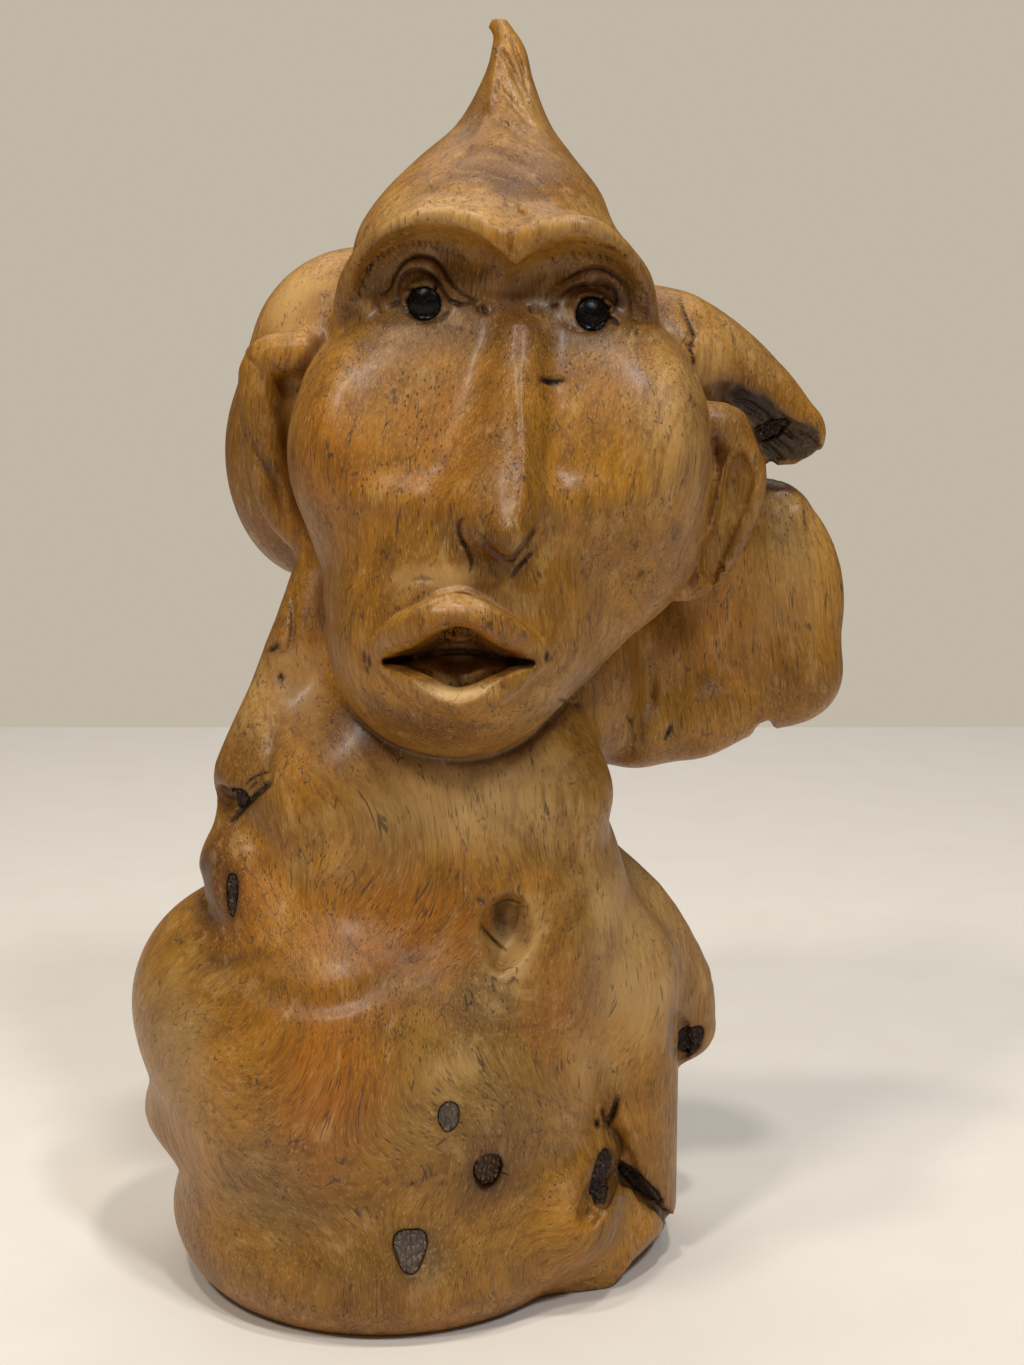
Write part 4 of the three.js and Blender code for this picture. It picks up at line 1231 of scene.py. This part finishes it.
def patches_at(points, normals, patches):
    """Soft patches, on what faces the camera."""
    u, v, _ = pixels_of(points)
    view = np.array(CAMERA_AT) - points
    facing = np.clip(np.einsum("ij,ij->i", view, normals) / length(view) * 2 - 0.1, 0, 1)
    total = np.zeros(len(points))
    for cu, cv, wide, tall, tilt, strength in patches:
        a = math.radians(tilt)
        du, dv = u - cu, v - cv
        across = (du * math.cos(a) + dv * math.sin(a)) / wide
        down = (dv * math.cos(a) - du * math.sin(a)) / tall
        ragged = 1 + 0.35 * wobble(points, 14, cu) + 0.2 * wobble(points, 5, cv)
        total = np.maximum(total, strength * np.exp(-((across ** 2 + down ** 2) * ragged) ** 1.5))
    return total * facing


# The stain around a piece let into the wood, faint or dark, and its width in millimetres
FAINT_RING, DARK_RING = 0.3, 0.7
RING_WIDTH = 0.8

normals = normals_of(figure, points)
for name, patches in PATCHES.items():
    keep(wood, name, patches_at(points, normals, patches))
# Painted shade in the carved grooves, dark cracks, and real stain rings around the pieces
stain_and_groove_shade = np.maximum(*[carving.read(carving.dark, points) for carving in (head_carving, body_carving)])
for surface, (name, inlay) in zip(surfaces, INLAYS.items()):
    rim = plug(surface, *inlay)
    mark = FAINT_RING if SLOTS[name] == "grey_knot" else DARK_RING
    near = np.flatnonzero(rim.near(points, 4))
    ring = np.exp(-(np.maximum(rim.distance(points[near]), 0) / RING_WIDTH) ** 2)
    stain_and_groove_shade[near] = np.maximum(stain_and_groove_shade[near], mark * ring)
keep(wood, "stain_and_groove_shade", stain_and_groove_shade)
# Painted shade in creases and hollows, by how enclosed each point is
keep(wood, "painted_crease_shade", sum(share * shade_at(points, normals, reach) for reach, share in HOLLOWS))
keep(wood, "grain", grain_at(points), "FLOAT_VECTOR")
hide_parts("carved_root")
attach(wood, "root")


# Materials

class Shader:
    """A material's node tree, built by short calls, its places in millimetres."""

    def __init__(self, name):
        self.material = bpy.data.materials.new(name)
        self.material.use_nodes = True
        self.tree = self.material.node_tree
        self.surface = self.tree.nodes["Principled BSDF"]

    def put(self, value, socket):
        if isinstance(value, bpy.types.NodeSocket):
            self.tree.links.new(value, socket)
        else:
            socket.default_value = value

    def node(self, kind, inputs=(), **settings):
        made = self.tree.nodes.new(kind)
        for key, value in settings.items():
            setattr(made, key, value)
        for key, value in dict(inputs).items():
            self.put(value, made.inputs[key])
        return made

    def kept(self, name):
        return self.node("ShaderNodeAttribute", attribute_name=name)

    def sum(self, operation, a, b=0.5, c=0.5):
        return self.node("ShaderNodeMath", {0: a, 1: b, 2: c}, operation=operation).outputs[0]

    def along(self, vector, share):
        """Places for a pattern drawn out along the grain."""
        scaled = self.node("ShaderNodeVectorMath", {0: vector, 1: (1, 1, share)}, operation="MULTIPLY")
        return scaled.outputs[0]

    def noise(self, vector, scale, detail=3.0, rough=0.55):
        return self.node("ShaderNodeTexNoise", {"Vector": vector, "Scale": scale, "Detail": detail,
                                                "Roughness": rough}).outputs["Fac"]

    def between(self, value, low, high, to_low=0.0, to_high=1.0):
        return self.node("ShaderNodeMapRange", {0: value, 1: low, 2: high, 3: to_low, 4: to_high},
                         interpolation_type="SMOOTHSTEP").outputs[0]

    def mixed(self, share, a, b):
        made = self.node("ShaderNodeMix", data_type="RGBA")
        self.put(share, made.inputs[0])
        self.put(a, made.inputs[6])
        self.put(b, made.inputs[7])
        return made.outputs[2]

    def finish(self, color, rough, bump=None, bump_depth=0.0, **settings):
        self.put(color, self.surface.inputs["Base Color"])
        self.put(rough, self.surface.inputs["Roughness"])
        for name, value in settings.items():
            self.surface.inputs[name.replace("_", " ")].default_value = value
        if bump is not None:
            made = self.node("ShaderNodeBump", {"Height": bump, "Distance": bump_depth, "Strength": 1.0})
            self.tree.links.new(made.outputs["Normal"], self.surface.inputs["Normal"])
        return self.material


def tone(red, green, blue):
    return (red, green, blue, 1)


HONEY = tone(0.39, 0.165, 0.012)
BROWN = tone(0.12, 0.042, 0.003)
AMBER = tone(0.33, 0.1, 0.004)
OLIVE = tone(0.18, 0.11, 0.03)
PALE = tone(0.6, 0.36, 0.13)
GREY = tone(0.12, 0.075, 0.036)
PORE = tone(0.035, 0.024, 0.02)
# Near black: stain rings and dark cracks, and painted shade in the carved grooves
STAIN_AND_CREVICE_SHADE = tone(0.012, 0.008, 0.006)
# Painted shade for creases and hollows, and dark wood
SHADE_AND_DARK_WOOD = tone(0.12, 0.04, 0.006)


def carved_wood():
    s = Shader("carved_wood")
    grain = s.kept("grain").outputs["Vector"]
    cloud = s.noise(s.along(grain, 0.6), 0.045, 5, 0.65)
    fibre = s.noise(s.along(grain, 0.08), 0.9, 5, 0.65)
    fine = s.noise(s.along(grain, 0.14), 2.8, 3, 0.6)
    color = s.mixed(s.between(cloud, 0.38, 0.62), BROWN, HONEY)
    color = s.mixed(0.45, HONEY, color)
    # Tone patches over the grain; the deep patches are mostly painted shade, and the brown, pale and amber
    # patches carry some painted shade and light, as their names say
    for name, finish, share in (("olive", OLIVE, 0.85), ("pale", PALE, 0.7), ("amber", AMBER, 0.85),
                                ("brown", BROWN, 0.8), ("grey", GREY, 0.8), ("deep", SHADE_AND_DARK_WOOD, 0.85)):
        color = s.mixed(s.sum("MULTIPLY", s.kept(name).outputs["Fac"], share), color, finish)
    rings = s.node("ShaderNodeTexWave", {"Vector": s.along(grain, 0.28), "Scale": 0.1,
                                         "Distortion": 6.0, "Detail": 4.0, "Detail Scale": 0.7},
                   wave_type="RINGS", rings_direction="Z").outputs["Fac"]
    blotch = s.noise(s.along(grain, 0.5), 0.17, 5, 0.7)
    for pattern, low, high, share, finish in (
        (blotch, 0.5, 0.68, 0.45, BROWN), (blotch, 0.47, 0.33, 0.3, PALE), (rings, 0.7, 1.0, 0.22, BROWN),
        (fibre, 0.45, 0.72, 0.6, BROWN), (fine, 0.5, 0.75, 0.4, PALE),
    ):
        color = s.mixed(s.between(pattern, low, high, 0, share), color, finish)
    cells = s.node("ShaderNodeTexVoronoi", {"Vector": s.along(grain, 0.12), "Scale": 1.25,
                                            "Randomness": 1.0})
    pore = s.between(cells.outputs["Distance"], 0.1, 0.24, 1, 0)
    pore = s.sum("MULTIPLY", pore, s.between(s.noise(grain, 0.11, 3), 0.4, 0.6))
    color = s.mixed(s.sum("MULTIPLY", pore, 0.6), color, PORE)
    # Painted shade: darker towards the crease colour where the surface encloses a point
    color = s.mixed(s.between(s.kept("painted_crease_shade").outputs["Fac"], 0.35, 0.95, 0, 0.75), color, SHADE_AND_DARK_WOOD)
    # Pale wood and painted light, laid last over the painted crease shade
    color = s.mixed(s.sum("MULTIPLY", s.kept("bare").outputs["Fac"], 0.85), color, PALE)
    web = s.node("ShaderNodeTexVoronoi", {"Vector": s.along(grain, 0.05), "Scale": 0.55},
                 feature="DISTANCE_TO_EDGE").outputs["Distance"]
    cracked = s.between(s.noise(s.along(grain, 0.4), 0.3, 4), 0.54, 0.62)
    check = s.sum("MULTIPLY", s.between(web, 0.015, 0.06, 1, 0), cracked)
    color = s.mixed(s.sum("MULTIPLY", check, 0.7), color, PORE)
    patchy = s.between(s.noise(grain, 1.4, 3), 0.3, 0.6, 0.7, 1)
    # Painted shade in the carved grooves and dark cracks, with the stain rings around the pieces
    color = s.mixed(s.sum("MULTIPLY", s.kept("stain_and_groove_shade").outputs["Fac"], patchy), color, STAIN_AND_CREVICE_SHADE)
    raised = s.sum("ADD", s.sum("MULTIPLY", fibre, 0.6), s.sum("MULTIPLY", fine, 0.3))
    height = s.sum("SUBTRACT", raised, pore)
    rough = s.between(fibre, 0.3, 0.7, 0.36, 0.52)
    return s.finish(color, rough, height, 0.00022,
                    Coat_Weight=0.14, Coat_Roughness=0.25, Specular_IOR_Level=0.25)


def black_pupil():
    s = Shader("black_pupil")
    place = s.kept("grain").outputs["Vector"]
    worn = s.between(s.noise(place, 1.3, 4), 0.5, 0.75)
    color = s.mixed(worn, tone(0.003, 0.0025, 0.002), tone(0.022, 0.013, 0.008))
    return s.finish(color, s.between(worn, 0, 1, 0.25, 0.45), s.noise(place, 2.5, 3), 0.00005,
                    Specular_IOR_Level=0.15)


def dark_plug(name, dark, light, flecks, rough, depth, cracked):
    """Dead wood or bark: layered dark stuff with lighter flecks in it."""
    s = Shader(name)
    place = s.kept("grain").outputs["Vector"]
    layers = s.noise(s.along(place, 0.4), 1.1, 5, 0.7)
    cracks = s.node("ShaderNodeTexVoronoi", {"Vector": s.along(place, 0.5), "Scale": 0.8},
                    feature="DISTANCE_TO_EDGE").outputs["Distance"]
    color = s.mixed(s.between(layers, 0.35, 0.65), tone(*dark), tone(*light))
    color = s.mixed(s.between(s.noise(place, 0.75, 4), 0.56, 0.68), color, tone(*flecks))
    color = s.mixed(s.between(cracks, 0.02, 0.12, cracked, 0), color, STAIN_AND_CREVICE_SHADE)
    height = s.sum("ADD", layers, s.between(cracks, 0.0, 0.2))
    return s.finish(color, s.between(layers, 0.3, 0.7, rough - 0.1, rough + 0.1), height, depth)


# Dark, light and flecks, then roughness, depth of the bump and how dark the cracks are
DARK_STUFF = {
    "dead_knot": ((0.02, 0.008, 0.004), (0.2, 0.075, 0.015), (0.28, 0.1, 0.02), 0.5, 0.0005, 0.85),
    "grey_knot": ((0.055, 0.038, 0.028), (0.13, 0.085, 0.05), (0.2, 0.13, 0.07), 0.5, 0.0002, 0.45),
    "bark": ((0.016, 0.008, 0.005), (0.075, 0.027, 0.009), (0.26, 0.085, 0.016), 0.8, 0.0008, 0.85),
}
FINISHES = {"pupil": black_pupil()}
for name, stuff in DARK_STUFF.items():
    FINISHES[name] = dark_plug(name, *stuff)
for name, (piece, places) in inlaid.items():
    keep(piece, "grain", places, "FLOAT_VECTOR")
    piece.data.materials.append(FINISHES[SLOTS[name]])
wood.data.materials.append(carved_wood())


# Floor, light and camera, in metres

def plane(name, size, at):
    half = size / 2
    mesh = bpy.data.meshes.new(name)
    corners = [(-half, -half, 0), (half, -half, 0), (half, half, 0), (-half, half, 0)]
    mesh.from_pydata(corners, [], [(0, 1, 2, 3)])
    made = bpy.data.objects.new(name, mesh)
    made.location = at
    bpy.context.scene.collection.objects.link(made)
    return made


def floor_finish():
    s = Shader("floor")
    place = s.node("ShaderNodeTexCoord").outputs["Object"]
    color = s.mixed(s.noise(place, 40, 4), tone(0.8, 0.73, 0.64), tone(0.86, 0.8, 0.72))
    return s.finish(color, 0.75)


WALL_AT = 0.67
FLOOR_SIZE = 4.0
floor = plane("floor", FLOOR_SIZE, (0, WALL_AT - FLOOR_SIZE / 2, 0))
floor.data.materials.append(floor_finish())


def lamp(name, at, target, power, size, color):
    light = bpy.data.lights.new(name, "AREA")
    light.energy = power
    light.size = size
    light.color = color
    made = bpy.data.objects.new(name, light)
    made.location = at
    made.rotation_euler = (Vector(target) - Vector(at)).to_track_quat("-Z", "Y").to_euler()
    bpy.context.scene.collection.objects.link(made)


MIDDLE = (0.015, -0.01, 0.17)
lamp("ceiling", (0, 0.65, 1.3), (0, 0.35, 0), 7.0, 1.2, (1, 0.97, 0.92))
lamp("overhead_left", (-0.26, -0.31, 1.14), MIDDLE, 2.6, 0.08, (1, 0.95, 0.88))
lamp("overhead_right", (0.17, -0.27, 1.16), MIDDLE, 3.2, 0.08, (1, 0.95, 0.88))
lamp("left", (-0.42, -0.66, 1.0), MIDDLE, 4.2, 0.12, (1, 0.96, 0.9))
lamp("right", (0.4, -0.66, 1.0), MIDDLE, 4.8, 0.12, (0.84, 0.92, 1))

# The room: a wall of one tone behind, and dimmer light from all around
ALL_AROUND = (0.1, 0.1, 0.1, 1)
WALL = (0.53, 0.475, 0.387, 1)
world = bpy.data.worlds.new("room")
world.use_nodes = True
room = world.node_tree
background = room.nodes["Background"]
path = room.nodes.new("ShaderNodeLightPath")
choice = room.nodes.new("ShaderNodeMix")
choice.data_type = "RGBA"
room.links.new(path.outputs["Is Camera Ray"], choice.inputs[0])
choice.inputs[6].default_value = ALL_AROUND
choice.inputs[7].default_value = WALL
room.links.new(choice.outputs[2], background.inputs["Color"])
bpy.context.scene.world = world

camera = bpy.data.cameras.new("camera")
camera.lens = CAMERA_LENS
camera.sensor_width = CAMERA_SENSOR
viewer = bpy.data.objects.new("camera", camera)
viewer.location = Vector(CAMERA_AT) * MM
viewer.rotation_euler = (math.radians(90 - CAMERA_DOWN), 0, 0)
bpy.context.scene.collection.objects.link(viewer)
bpy.context.scene.camera = viewer
bpy.context.scene.view_settings.view_transform = "Standard"
